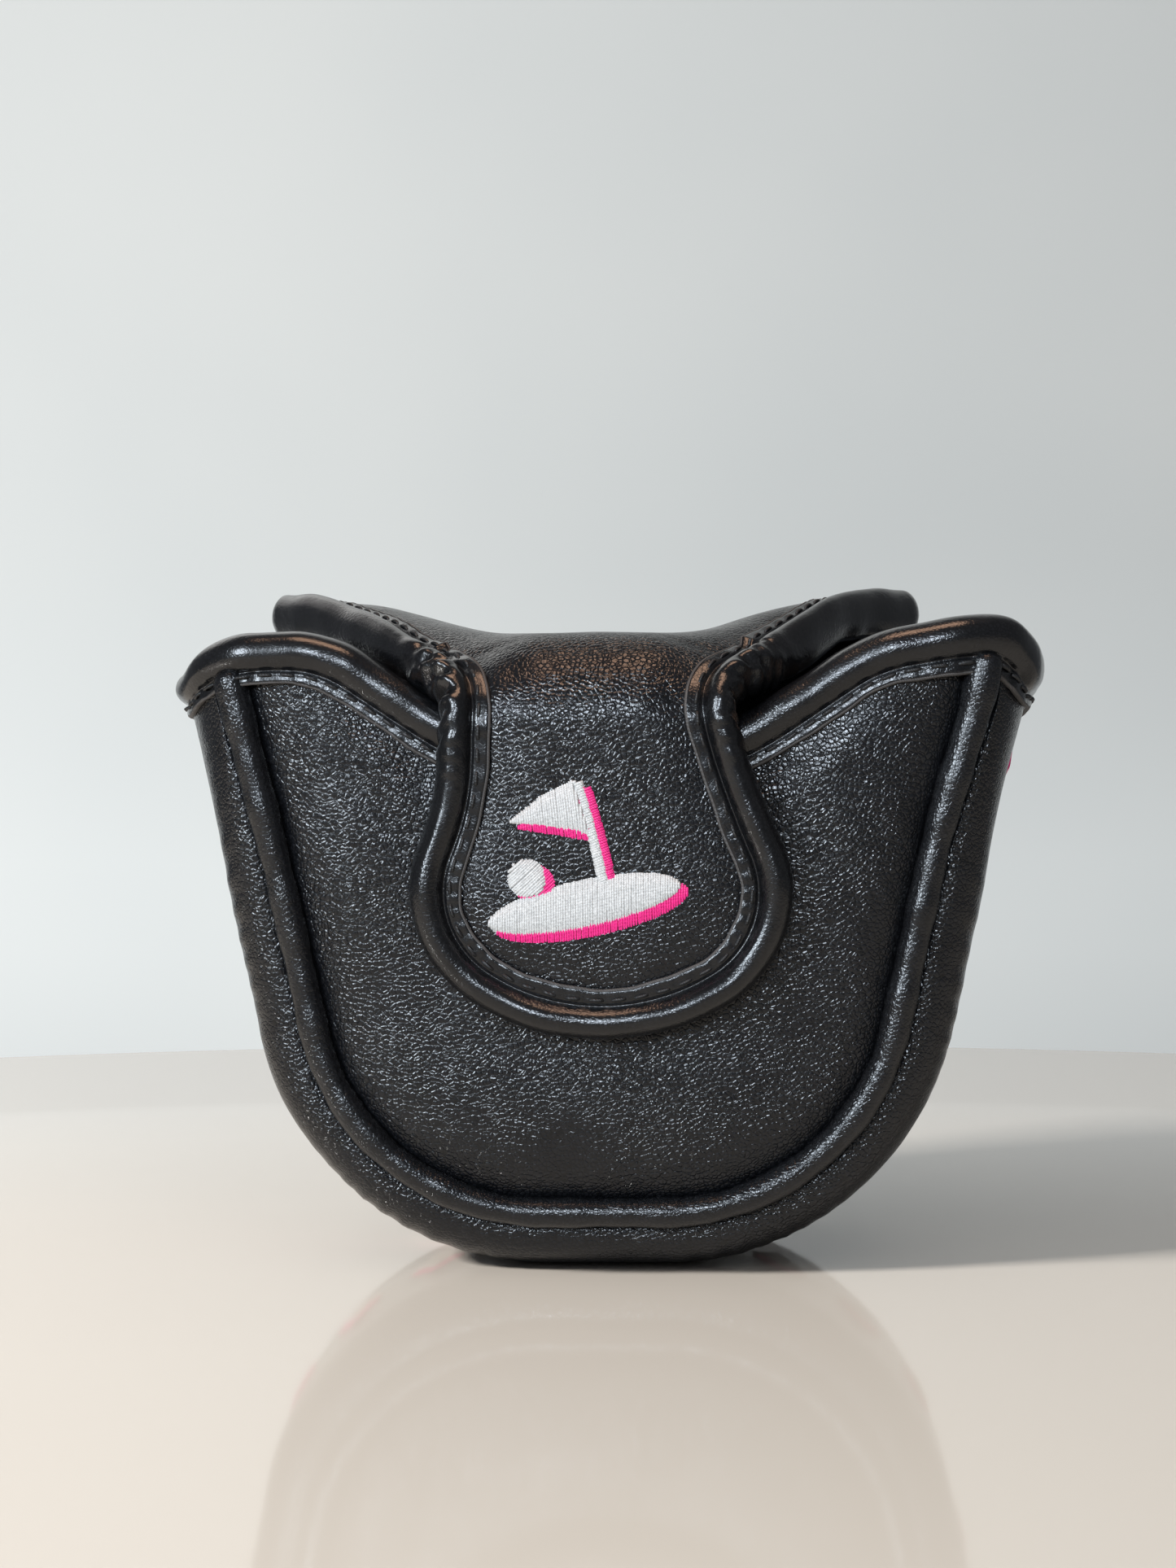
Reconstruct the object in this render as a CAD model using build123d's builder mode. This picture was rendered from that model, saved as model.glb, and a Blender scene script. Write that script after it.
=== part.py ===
"""Magnetic cover for a mallet putter head: a padded pouch with a fold-over flap.

A front panel and a back panel are joined by a gusset that runs round them in a U, with corded
piping in both seams and a padded binding round the mouth. The flap grows out of the back panel:
a bridge with two raised wings folds up and back on the rear edge, and a tongue, held to the
front panel by two magnet pairs, folds on the neck of the bridge.

Millimetres. +Z is up, -Y is the front, and the origin is the middle of the flat foot.
"""
from build123d import *
from math import cos, radians, sin, sqrt, tan
import os

# Seam line: a U in the X-Z plane with a flat foot, round corners and leaning sides.
FOOT_HALF = 9.0
CORNER_R = 36.0
LEAN = 12.0
BULGE = 10.0                    # gusset stands this far outside the seam
CORNER_Z = BULGE + CORNER_R
SIDE_RUN = 66.0                 # straight side of the U before the mouth is cut

# Depths from the middle of the pouch towards the front or the back.
SEAM_Y = 22.4
PANEL_IN = 20.0
PANEL_OUT = 26.5
PANEL_EDGE = 2.1                # panel edge inside the seam line
FLANGE = 0.6                    # gusset edge outside the seam line
GUSSET_EDGE_R = 9.0

# Layers.
LEATHER = 1.2
LINING = 1.2
GUSSET_LINING = 1.6
GUSSET_WALL = 8.0
BINDING = 0.8
PIPE_R = 2.0
PIPE_Y = SEAM_Y + PIPE_R
CORD_R = 1.3
SKIN_FOOT = 2.1                 # binding stops beside the piping
THREAD = 0.3

# Front rim, top of its padded roll: a hollow arc, a straight rise and a round shoulder.
DIP_R = 44.4
DIP_Z = 80.2
RISE = 34.0
RISE_LENGTH = 12.7
SHOULDER_R = 22.0
ROLL = 4.6
BAND = 4.5                      # flat sewn part of the binding below the roll
SEW = 2.2                       # seam of the binding below the roll
SIDE_FALL = 12.0                # slope of the rim across each gusset, down to the back
DIP_C = DIP_Z + DIP_R
SHOULDER_X = RISE_LENGTH * cos(radians(RISE)) + (DIP_R + SHOULDER_R) * sin(radians(RISE))
SHOULDER_C = DIP_C + RISE_LENGTH * sin(radians(RISE)) - (DIP_R + SHOULDER_R) * cos(radians(RISE))
RIM_CUT = SHOULDER_C + SHOULDER_R - ROLL

# Flap.
FLAP_T = 6.4
FLAP_FACE = BINDING             # leather lies this far under the rolled edge
FLAP_FOAM = FLAP_FACE + LEATHER
FLAP_LINING = FLAP_T - LINING
FLAP_FRONT = 34.5
FOLD_GAP = 0.15                 # each field stops this far from its fold line
BACK_FOLD_Z = 86.2
NECK_FOLD_Z = 80.0
BRIDGE_Z = 98.0
BEND_Y = -21.0
BEND_R = FLAP_FRONT + BEND_Y
FLAT_HALF = 24.0
WING_CURL_R = 68.0
WING_HALF = 53.2
WING_Y = 18.0
NECK_HALF = 22.5
NECK_Y = -25.0
FLAP_ROLL = 4.6
FLAP_BAND = 7.4
FLAP_SEW = 6.0

# Tongue outline: neck flank, cheek and tip arcs.
FLANK_R = 60.0
CHEEK_X, CHEEK_Z, CHEEK_R = 9.0, 60.0, 19.3
TIP_R = 36.0

# Magnets, emblem and gusset motifs.
MAGNET_R, MAGNET_T = 6.0, 2.0
MAGNET_X, MAGNET_Z = 9.5, 53.0
EMBROIDERY = 0.5
EMBLEM_AT = (-2.4, 58.2)
EMBLEM_TILT = 12.0
SHADOW = (1.1, -0.9)
DOT_R = 4.6
CORNER_DOTS = (24.0, 43.0, 62.0)
SIDE_DOTS = (4.0, 19.0, 34.0)

os.makedirs("parts", exist_ok=True)


def save(piece, name):
    """Labels a finished piece and writes it as its own STEP file."""
    piece.label = name
    export_step(piece, f"parts/{name}.step")


def slab(face, inner, outer):
    """Extrudes an X-Z face between two depths, both measured towards the front."""
    with BuildPart() as made:
        with BuildSketch(Plane.XZ.offset(inner)):
            add(face)
        extrude(amount=outer - inner)
    return made.part


# ---------------------------------------------------------------- pouch
def seam_face(outside):
    """Region inside the seam line moved out by `outside`, open well above the mouth."""
    radius = CORNER_R + outside
    end_x = FOOT_HALF + radius * cos(radians(LEAN))
    end_z = CORNER_Z - radius * sin(radians(LEAN))
    top_x = end_x + SIDE_RUN * tan(radians(LEAN))
    with BuildSketch() as made:
        with BuildLine():
            Line((0, CORNER_Z - radius), (FOOT_HALF, CORNER_Z - radius))
            CenterArc((FOOT_HALF, CORNER_Z), radius, -90, 90 - LEAN)
            Line((end_x, end_z), (top_x, end_z + SIDE_RUN))
            Line((top_x, end_z + SIDE_RUN), (0, end_z + SIDE_RUN))
            Line((0, end_z + SIDE_RUN), (0, CORNER_Z - radius))
        make_face()
        mirror(about=Plane.YZ)
    return made.sketch


def rim_face(drop):
    """Region under the front rim's top line lowered by `drop`, measured square to the line."""
    dip = DIP_R + drop
    shoulder = SHOULDER_R - drop
    dip_end = (dip * sin(radians(RISE)), DIP_C - dip * cos(radians(RISE)))
    rise_end = (SHOULDER_X - shoulder * sin(radians(RISE)), SHOULDER_C + shoulder * cos(radians(RISE)))
    with BuildSketch() as made:
        with BuildLine():
            Line((0, -20), (0, DIP_C - dip))
            CenterArc((0, DIP_C), dip, -90, RISE)
            Line(dip_end, rise_end)
            CenterArc((SHOULDER_X, SHOULDER_C), shoulder, 90 + RISE, -RISE)
            Line((SHOULDER_X, SHOULDER_C + shoulder), (80, SHOULDER_C + shoulder))
            Line((80, SHOULDER_C + shoulder), (80, -20))
            Line((80, -20), (0, -20))
        make_face()
        mirror(about=Plane.YZ)
    return made.sketch


def rim_plane(lift):
    """Plane of the rim across the gusset, raised by `lift`."""
    normal = (0, sin(radians(SIDE_FALL)), cos(radians(SIDE_FALL)))
    return Plane(origin=(0, -SEAM_Y, RIM_CUT + lift), x_dir=(1, 0, 0), z_dir=normal)


def gusset_run(section):
    """Carries a cross-section round the seam line; sketch X runs along depth and Y outward."""
    side_at = (FOOT_HALF + CORNER_R * cos(radians(LEAN)), 0, CORNER_Z - CORNER_R * sin(radians(LEAN)))
    side_dir = (sin(radians(LEAN)), 0, cos(radians(LEAN)))
    with BuildPart() as made:
        with BuildSketch(Plane(origin=(0, 0, BULGE), x_dir=(0, -1, 0), z_dir=(1, 0, 0))):
            add(section)
        extrude(amount=FOOT_HALF)
        with BuildSketch(Plane(origin=(FOOT_HALF, 0, BULGE), x_dir=(0, -1, 0), z_dir=(1, 0, 0))):
            add(section)
        revolve(axis=Axis((FOOT_HALF, 0, CORNER_Z), (0, -1, 0)), revolution_arc=90 - LEAN)
        with BuildSketch(Plane(origin=side_at, x_dir=(0, -1, 0), z_dir=side_dir)):
            add(section)
        extrude(amount=SIDE_RUN)
        mirror(about=Plane.YZ)
    return made.part


def gusset_outline(grow, foot):
    """Bulged outline of the gusset moved out by `grow`, closed by a straight line at `foot`."""
    with BuildSketch() as made:
        with BuildLine():
            Line((0, foot), (SEAM_Y + grow, foot))
            Line((SEAM_Y + grow, foot), (SEAM_Y + grow, BULGE - GUSSET_EDGE_R))
            CenterArc((SEAM_Y - GUSSET_EDGE_R, BULGE - GUSSET_EDGE_R), GUSSET_EDGE_R + grow, 0, 90)
            Line((SEAM_Y - GUSSET_EDGE_R, BULGE + grow), (0, BULGE + grow))
            Line((0, BULGE + grow), (0, foot))
        make_face()
        mirror(about=Plane.YZ)
    return made.sketch


def gusset_wall(grow):
    """Gusset outline less the hollow inside it, both surfaces moved by `grow`."""
    hollow = BULGE - GUSSET_WALL - grow
    with BuildSketch() as made:
        add(gusset_outline(grow, FLANGE - max(grow, 0)))
        with Locations((0, hollow / 2 - 2)):
            Rectangle(2 * (PANEL_IN - grow), hollow + 4, mode=Mode.SUBTRACT)
    return made.sketch


def gusset_cut(section, lift_low, lift_high):
    """Gusset run of a cross-section, kept between two lifts of the rim plane."""
    with BuildPart() as made:
        add(gusset_run(section))
        split(bisect_by=rim_plane(lift_high), keep=Keep.BOTTOM)
        if lift_low is not None:
            split(bisect_by=rim_plane(lift_low), keep=Keep.TOP)
    return made.part


with BuildSketch() as leather_section:
    add(gusset_outline(0, FLANGE))
    add(gusset_outline(-LEATHER, FLANGE - 1), mode=Mode.SUBTRACT)

with BuildSketch() as gusset_lining_section:
    with Locations((0, BULGE - GUSSET_WALL + GUSSET_LINING / 2)):
        Rectangle(2 * PANEL_IN, GUSSET_LINING)

with BuildSketch() as gusset_foam_section:
    add(gusset_outline(-LEATHER, FLANGE))
    with Locations((0, (BULGE - GUSSET_WALL) / 2 + GUSSET_LINING / 2)):
        Rectangle(2 * PANEL_IN, BULGE - GUSSET_WALL + GUSSET_LINING, mode=Mode.SUBTRACT)

def gusset_skin(inner, outer):
    """Thin skin over the gusset's outside, between two heights over the leather."""
    with BuildSketch() as made:
        add(gusset_outline(outer, 0))
        add(gusset_outline(inner, -1), mode=Mode.SUBTRACT)
        with Locations((0, SKIN_FOOT)):
            Rectangle(80, 20, align=(Align.CENTER, Align.MAX), mode=Mode.SUBTRACT)
    return made.sketch


save(gusset_cut(leather_section.sketch, None, 0), "gusset_leather")
save(gusset_cut(gusset_foam_section.sketch, None, 0), "gusset_foam")
save(gusset_cut(gusset_lining_section.sketch, None, 0), "gusset_lining")

with BuildSketch() as front_outline:
    add(seam_face(-PANEL_EDGE))
    add(rim_face(ROLL), mode=Mode.INTERSECT)

with BuildSketch() as back_outline:
    add(seam_face(-PANEL_EDGE))
    with Locations((0, BACK_FOLD_Z - FOLD_GAP)):
        Rectangle(200, 200, align=(Align.CENTER, Align.MAX), mode=Mode.INTERSECT)


def magnet_pair(inner, outer):
    """Two discs side by side between two depths."""
    with BuildPart() as made:
        with BuildSketch(Plane.XZ.offset(inner)):
            with Locations((-MAGNET_X, MAGNET_Z), (MAGNET_X, MAGNET_Z)):
                Circle(MAGNET_R)
        extrude(amount=outer - inner)
    return made.part


LEATHER_IN = PANEL_OUT - LEATHER
LINING_OUT = PANEL_IN + LINING
front_magnets = magnet_pair(LEATHER_IN - MAGNET_T, LEATHER_IN)

with BuildPart() as front_foam:
    add(slab(front_outline.sketch, LINING_OUT, LEATHER_IN))
    add(front_magnets, mode=Mode.SUBTRACT)

save(slab(front_outline.sketch, LEATHER_IN, PANEL_OUT), "front_panel_leather")
save(front_foam.part, "front_panel_foam")
save(slab(front_outline.sketch, PANEL_IN, LINING_OUT), "front_panel_lining")
save(front_magnets, "front_magnets")
save(slab(back_outline.sketch, -PANEL_OUT, -LEATHER_IN), "back_panel_leather")
save(slab(back_outline.sketch, -LEATHER_IN, -LINING_OUT), "back_panel_foam")
save(slab(back_outline.sketch, -LINING_OUT, -PANEL_IN), "back_panel_lining")

# Piping: a cord in a wrap whose flange is caught between the panel and the gusset.
with BuildSketch() as front_wrap_section:
    with Locations((PIPE_Y, 0)):
        Circle(PIPE_R)
    with Locations(((PIPE_Y + PANEL_IN) / 2, (FLANGE - PANEL_EDGE) / 2)):
        Rectangle(PIPE_Y - PANEL_IN, FLANGE + PANEL_EDGE)
    with Locations((PIPE_Y, 0)):
        Circle(CORD_R, mode=Mode.SUBTRACT)

with BuildSketch() as front_cord_section:
    with Locations((PIPE_Y, 0)):
        Circle(CORD_R)

for side, turn in (("front", None), ("back", Plane.XZ)):
    for what, drawn in (("wrap", front_wrap_section), ("cord", front_cord_section)):
        with BuildPart() as piping:
            add(gusset_run(drawn.sketch))
            if turn is not None:
                mirror(about=turn, mode=Mode.REPLACE)
            split(bisect_by=rim_plane(0), keep=Keep.BOTTOM)
            split(bisect_by=Plane.XY.offset(RIM_CUT), keep=Keep.BOTTOM)
        save(piping.part, f"{side}_piping_{what}")


# ---------------------------------------------------------------- rim binding
def rim_roll(inset):
    """Padded roll on the front panel's edge and across both gussets, all faces drawn in."""
    with BuildSketch() as strip:
        add(rim_face(inset))
        add(rim_face(ROLL - inset), mode=Mode.SUBTRACT)
        add(seam_face(PIPE_R - inset), mode=Mode.INTERSECT)
    with BuildPart() as made:
        add(slab(strip.sketch, PANEL_IN - BINDING + inset, PANEL_OUT + BINDING - inset))
        add(gusset_cut(gusset_wall(BINDING - inset), inset, ROLL - inset))
    return made.part


with BuildSketch() as band_strip:
    add(rim_face(ROLL - 0.1))
    add(rim_face(ROLL + BAND), mode=Mode.SUBTRACT)
    add(seam_face(PIPE_R), mode=Mode.INTERSECT)

rim_cord = rim_roll(1.2)

with BuildPart() as rim_binding:
    add(rim_roll(0))
    add(rim_cord, mode=Mode.SUBTRACT)
    add(slab(band_strip.sketch, PANEL_OUT, PANEL_OUT + BINDING))
    add(gusset_cut(gusset_skin(0, BINDING), -BAND, 0.1))
save(rim_binding.part, "rim_binding")
save(rim_cord, "rim_binding_cord")


def rim_line(drop):
    """Right half of the front rim's line lowered by `drop`, from the middle to the shoulder."""
    dip = DIP_R + drop
    shoulder = SHOULDER_R - drop
    with BuildLine() as made:
        CenterArc((0, DIP_C), dip, -90, RISE)
        Line(
            (dip * sin(radians(RISE)), DIP_C - dip * cos(radians(RISE))),
            (SHOULDER_X - shoulder * sin(radians(RISE)), SHOULDER_C + shoulder * cos(radians(RISE))),
        )
        CenterArc((SHOULDER_X, SHOULDER_C), shoulder, 90 + RISE, -RISE)
    return made.wire()


def stitch_cells(line, pitch, skip):
    """Small rectangles along a flat line, `skip` millimetres in from its start."""
    count = int((line.length - skip) / pitch)
    spots = [line.location_at((skip + pitch * (i + 0.5)) / line.length) for i in range(count)]
    angles = [line.tangent_angle_at((skip + pitch * (i + 0.5)) / line.length) for i in range(count)]
    with BuildSketch() as made:
        for spot, angle in zip(spots, angles):
            with Locations(Location((spot.position.X, spot.position.Y, 0), (0, 0, angle))):
                SlotOverall(2.3, 0.7)
    return made.sketch


def side_stitch(step):
    """One stitch across both gussets, `step` pitches from the middle of the depth."""
    with BuildPart() as made:
        with BuildSketch(rim_plane(-SEW - 0.35)):
            with Locations((0, SEAM_Y / cos(radians(SIDE_FALL)) + 3.5 * step)):
                Rectangle(200, 2.3)
        extrude(amount=0.7)
        add(thread_run, mode=Mode.INTERSECT)
    return made.part


thread_run = gusset_run(gusset_skin(BINDING, BINDING + THREAD))
with BuildPart() as rim_stitching:
    with BuildSketch(Plane.XZ.offset(PANEL_OUT + BINDING)):
        add(stitch_cells(rim_line(ROLL + SEW), 3.3, 26))
        mirror(about=Plane.YZ)
    extrude(amount=THREAD)
    for step in range(-5, 6):
        add(side_stitch(step))
save(rim_stitching.part, "rim_stitching")


# ---------------------------------------------------------------- gusset motifs
def dot_pins(shift):
    """Pins square to the gusset where its embroidered dots sit, on the right-hand side."""
    with BuildPart() as made:
        for angle in CORNER_DOTS:
            out = (sin(radians(angle)), 0, -cos(radians(angle)))
            with BuildSketch(Plane(origin=(FOOT_HALF, shift, CORNER_Z), x_dir=(0, 1, 0), z_dir=out)):
                RegularPolygon(DOT_R, 4)
            extrude(amount=60)
        for run in SIDE_DOTS:
            out = (cos(radians(LEAN)), 0, -sin(radians(LEAN)))
            rise = CORNER_Z + run * cos(radians(LEAN))
            at = (FOOT_HALF + run * sin(radians(LEAN)), shift, rise)
            with BuildSketch(Plane(origin=at, x_dir=(0, 1, 0), z_dir=out)):
                RegularPolygon(DOT_R, 4)
            extrude(amount=60)
        mirror(about=Plane.YZ)
    return made.part


with BuildSketch() as embroidery_section:
    with Locations((0, BULGE + EMBROIDERY / 2)):
        Rectangle(14, EMBROIDERY)

with BuildPart() as motifs_white:
    add(gusset_run(embroidery_section.sketch))
    add(dot_pins(0.7), mode=Mode.INTERSECT)
with BuildPart() as motifs_pink:
    add(gusset_run(embroidery_section.sketch))
    add(dot_pins(-1.0), mode=Mode.INTERSECT)
    add(motifs_white.part, mode=Mode.SUBTRACT)
save(motifs_white.part, "gusset_motifs_white")
save(motifs_pink.part, "gusset_motifs_pink")


# ---------------------------------------------------------------- flap bridge
def bridge_block(under):
    """Solid filled out below the bridge's outer surface moved in by `under`."""
    curl = WING_CURL_R + under
    top = BRIDGE_Z - under
    edge = FLAT_HALF + 36
    edge_z = top + curl - sqrt(curl ** 2 - 36 ** 2)
    low = BACK_FOLD_Z + FOLD_GAP
    with BuildSketch(Plane.XZ) as crown:
        with BuildLine():
            Line((0, low), (0, top))
            Line((0, top), (FLAT_HALF, top))
            RadiusArc((FLAT_HALF, top), (edge, edge_z), -curl)
            Line((edge, edge_z), (edge, low))
            Line((edge, low), (0, low))
        make_face()
        mirror(about=Plane.YZ)
    with BuildPart() as made:
        with BuildSketch(Plane.XZ.offset(under - PANEL_OUT)):
            add(crown.sketch_local)
        extrude(amount=PANEL_OUT - under - BEND_Y)
        with BuildSketch(Plane.YZ.offset(-FLAT_HALF)):
            with BuildLine():
                bend = CenterArc((BEND_Y, BRIDGE_Z - BEND_R), BEND_R - under, 90, 90)
                down = Line(bend @ 1, (BEND_Y - BEND_R + under, NECK_FOLD_Z + FOLD_GAP))
                sole = Line(down @ 1, (BEND_Y, NECK_FOLD_Z + FOLD_GAP))
                Line(sole @ 1, bend @ 0)
            make_face()
        extrude(amount=2 * FLAT_HALF)
    return made.part


def bridge_plan(inset):
    """Outline of the bridge from above, drawn in by `inset` on both flanks."""
    with BuildSketch() as made:
        with BuildLine():
            Polyline((0, 60), (WING_HALF, 60), (WING_HALF, WING_Y), (NECK_HALF, NECK_Y), (NECK_HALF, -70), (0, -70))
            mirror(about=Plane.YZ)
        make_face()
        fillet(made.vertices().filter_by(lambda v: abs(v.Y - WING_Y) < 0.01), radius=7)
        fillet(made.vertices().filter_by(lambda v: abs(v.Y - NECK_Y) < 0.01), radius=12)
        if inset > 0:
            offset(amount=-inset, mode=Mode.REPLACE)
    return made.sketch


def bridge_column(inset_from, inset_to):
    """Upright column over the part of the bridge between two insets from its edge."""
    with BuildPart() as made:
        with BuildSketch(Plane.XY.offset(60)):
            add(bridge_plan(inset_from))
            if inset_to is not None:
                add(bridge_plan(inset_to), mode=Mode.SUBTRACT)
        extrude(amount=60)
    return made.part


def bridge_layer(outer, inner, inset_from, inset_to):
    """Part of the bridge between two depths and between two insets from its edge."""
    with BuildPart() as made:
        add(bridge_block(outer))
        add(bridge_block(inner), mode=Mode.SUBTRACT)
        add(bridge_column(inset_from, inset_to), mode=Mode.INTERSECT)
    return made.part


save(bridge_layer(FLAP_FACE, FLAP_FOAM, FLAP_ROLL, None), "bridge_leather")
save(bridge_layer(FLAP_FOAM, FLAP_LINING, FLAP_ROLL, None), "bridge_foam")
save(bridge_layer(FLAP_LINING, FLAP_T, FLAP_ROLL, None), "bridge_lining")
bridge_cord = bridge_layer(1.7, FLAP_T - 1.7, 1.2, FLAP_ROLL - 1.0)
with BuildPart() as bridge_binding:
    add(bridge_layer(0, FLAP_T, 0, FLAP_ROLL))
    add(bridge_cord, mode=Mode.SUBTRACT)
    add(bridge_layer(0, FLAP_FACE, FLAP_ROLL, FLAP_BAND))
save(bridge_cord, "bridge_binding_cord")
save(bridge_binding.part, "bridge_binding")

with BuildLine() as flank_line:
    Polyline((WING_HALF - FLAP_SEW, 22), (WING_HALF - FLAP_SEW, WING_Y - 2.5), (NECK_HALF - FLAP_SEW, NECK_Y + 2.2))
flank_spots = stitch_cells(flank_line.wire(), 3.3, 1)

with BuildPart() as bridge_stitching:
    with BuildSketch(Plane.XY.offset(90)):
        add(flank_spots)
        mirror(about=Plane.YZ)
    extrude(amount=30)
    add(bridge_block(-THREAD), mode=Mode.INTERSECT)
    add(bridge_block(0), mode=Mode.SUBTRACT)
save(bridge_stitching.part, "bridge_stitching")


# ---------------------------------------------------------------- flap tongue
def tongue_line(inset):
    """Right half of the tongue's outline drawn in by `inset`, from the neck to the tip."""
    neck = NECK_HALF - 0.5
    flank_x = neck + FLANK_R
    flank_z = CHEEK_Z + sqrt((FLANK_R + CHEEK_R) ** 2 - (flank_x - CHEEK_X) ** 2)
    tip_c = CHEEK_Z + sqrt((TIP_R - CHEEK_R) ** 2 - CHEEK_X ** 2)
    up = (CHEEK_R - inset) / (FLANK_R + CHEEK_R)
    down = (TIP_R - inset) / (TIP_R - CHEEK_R)
    with BuildLine() as made:
        flank = RadiusArc(
            (neck - inset, flank_z),
            (CHEEK_X + (flank_x - CHEEK_X) * up, CHEEK_Z + (flank_z - CHEEK_Z) * up),
            -(FLANK_R + inset),
        )
        cheek = RadiusArc(
            flank @ 1,
            (CHEEK_X * down, tip_c + (CHEEK_Z - tip_c) * down),
            CHEEK_R - inset,
        )
        RadiusArc(cheek @ 1, (0, tip_c - TIP_R + inset), TIP_R - inset)
    return made.wire()


def tongue_outline(inset):
    """Outline of the tongue drawn in by `inset`, cut off at the neck fold."""
    half = tongue_line(inset)
    with BuildSketch() as made:
        with BuildLine():
            add(half)
            Line(half @ 0, (0, (half @ 0).Y))
            mirror(about=Plane.YZ)
        make_face()
        with Locations((0, NECK_FOLD_Z - FOLD_GAP)):
            Rectangle(100, 100, align=(Align.CENTER, Align.MAX), mode=Mode.INTERSECT)
    return made.sketch


def tongue_layer(outer, inner, inset_from, inset_to):
    """Part of the tongue between two depths and between two insets from its edge."""
    with BuildSketch() as ring:
        add(tongue_outline(inset_from))
        if inset_to is not None:
            add(tongue_outline(inset_to), mode=Mode.SUBTRACT)
    return slab(ring.sketch, FLAP_FRONT - inner, FLAP_FRONT - outer)


flap_magnets = magnet_pair(FLAP_FRONT - FLAP_LINING, FLAP_FRONT - FLAP_LINING + MAGNET_T)
with BuildPart() as tongue_foam:
    add(tongue_layer(FLAP_FOAM, FLAP_LINING, FLAP_ROLL, None))
    add(flap_magnets, mode=Mode.SUBTRACT)
tongue_cord = tongue_layer(1.7, FLAP_T - 1.7, 1.2, FLAP_ROLL - 1.0)
with BuildPart() as tongue_binding:
    add(tongue_layer(0, FLAP_T, 0, FLAP_ROLL))
    add(tongue_cord, mode=Mode.SUBTRACT)
    add(tongue_layer(0, FLAP_FACE, FLAP_ROLL, FLAP_BAND))
save(tongue_layer(FLAP_FACE, FLAP_FOAM, FLAP_ROLL, None), "tongue_leather")
save(tongue_foam.part, "tongue_foam")
save(tongue_layer(FLAP_LINING, FLAP_T, FLAP_ROLL, None), "tongue_lining")
save(tongue_cord, "tongue_binding_cord")
save(tongue_binding.part, "tongue_binding")
save(flap_magnets, "flap_magnets")

with BuildPart() as tongue_stitching:
    with BuildSketch(Plane.XZ.offset(FLAP_FRONT)):
        add(stitch_cells(tongue_line(FLAP_SEW), 3.3, 12))
        mirror(about=Plane.YZ)
    extrude(amount=THREAD)
save(tongue_stitching.part, "tongue_stitching")

# Emblem: a flag on a putting green with a ball, and the same shape set off as its shadow.
with BuildSketch() as emblem:
    Ellipse(14.5, 3.6)
    with Locations((3.5, 0.8)):
        Ellipse(2.4, 0.8, mode=Mode.SUBTRACT)
    with Locations((3.5, 9.3)):
        Rectangle(1.3, 17)
    with BuildLine():
        Polyline((3.5, 17.8), (3.5, 10.4), (-7.5, 14.1), (3.5, 17.8))
    make_face()
    with Locations((-7.5, 5.2)):
        Circle(2.7)


def emblem_part(shift_x, shift_z):
    """The emblem in thread on the tongue's leather, moved sideways and up."""
    with BuildPart() as made:
        with BuildSketch(Plane.XZ.offset(FLAP_FRONT - FLAP_FACE)):
            with Locations(Location((EMBLEM_AT[0] + shift_x, EMBLEM_AT[1] + shift_z, 0), (0, 0, EMBLEM_TILT))):
                add(emblem.sketch)
        extrude(amount=EMBROIDERY)
    return made.part


emblem_white = emblem_part(0, 0)
with BuildPart() as emblem_pink:
    add(emblem_part(*SHADOW))
    add(emblem_white, mode=Mode.SUBTRACT)
save(emblem_white, "emblem_white")
save(emblem_pink.part, "emblem_pink")
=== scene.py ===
from itertools import product
from math import atan2, cos, hypot, pi, radians, sin, sqrt, tan

import bpy
import numpy as np
from mathutils import Matrix, Vector


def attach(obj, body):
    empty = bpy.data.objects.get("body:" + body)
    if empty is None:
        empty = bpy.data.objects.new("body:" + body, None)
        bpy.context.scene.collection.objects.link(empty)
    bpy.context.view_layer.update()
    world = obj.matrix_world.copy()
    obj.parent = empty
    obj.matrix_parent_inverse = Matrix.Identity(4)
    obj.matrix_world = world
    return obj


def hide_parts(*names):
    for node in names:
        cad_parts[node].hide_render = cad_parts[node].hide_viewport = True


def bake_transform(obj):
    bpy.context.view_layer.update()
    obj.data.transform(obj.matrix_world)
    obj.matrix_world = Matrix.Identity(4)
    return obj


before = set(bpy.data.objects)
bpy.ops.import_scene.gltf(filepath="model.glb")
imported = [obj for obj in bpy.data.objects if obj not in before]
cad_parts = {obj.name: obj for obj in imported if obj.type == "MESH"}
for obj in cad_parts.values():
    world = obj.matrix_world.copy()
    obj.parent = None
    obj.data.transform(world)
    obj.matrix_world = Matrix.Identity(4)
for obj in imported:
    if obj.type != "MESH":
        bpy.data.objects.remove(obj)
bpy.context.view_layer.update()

MM = 0.001

# ------------ sizes, in millimetres, as in the CAD
FOOT, CORNER_R, LEAN, BULGE = 9.0, 36.0, radians(12), 10.0
CORNER_Z = BULGE + CORNER_R
SIDE_X = FOOT + CORNER_R * cos(LEAN)
SIDE_Z = CORNER_Z - CORNER_R * sin(LEAN)
SEAM_Y, GUSSET_R = 22.4, 9.0
PANEL_Y, CROWN = 26.5, 0.35
PIPE_R = 2.3
DIP_R, DIP_Z, RISE, RISE_RUN, SHOULDER_R = 44.4, 80.2, radians(34), 12.7, 22.0
DIP_C = DIP_Z + DIP_R
SHOULDER_X = RISE_RUN * cos(RISE) + (DIP_R + SHOULDER_R) * sin(RISE)
SHOULDER_C = DIP_C + RISE_RUN * sin(RISE) - (DIP_R + SHOULDER_R) * cos(RISE)
RIM_TOP = SHOULDER_C + SHOULDER_R
CORNER_DROP, BACK_DROP = 5.0, 4.6
ROLL = 4.6
FOLD_Z, FLAP_TOP, FLAP_FRONT = 86.2, 98.0, 34.5
BACK_R, BEND_Y, BEND_R = 7.0, -21.0, 13.5
WING_X, WING_Y, NECK_X = 53.2, 18.0, 22.5
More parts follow.
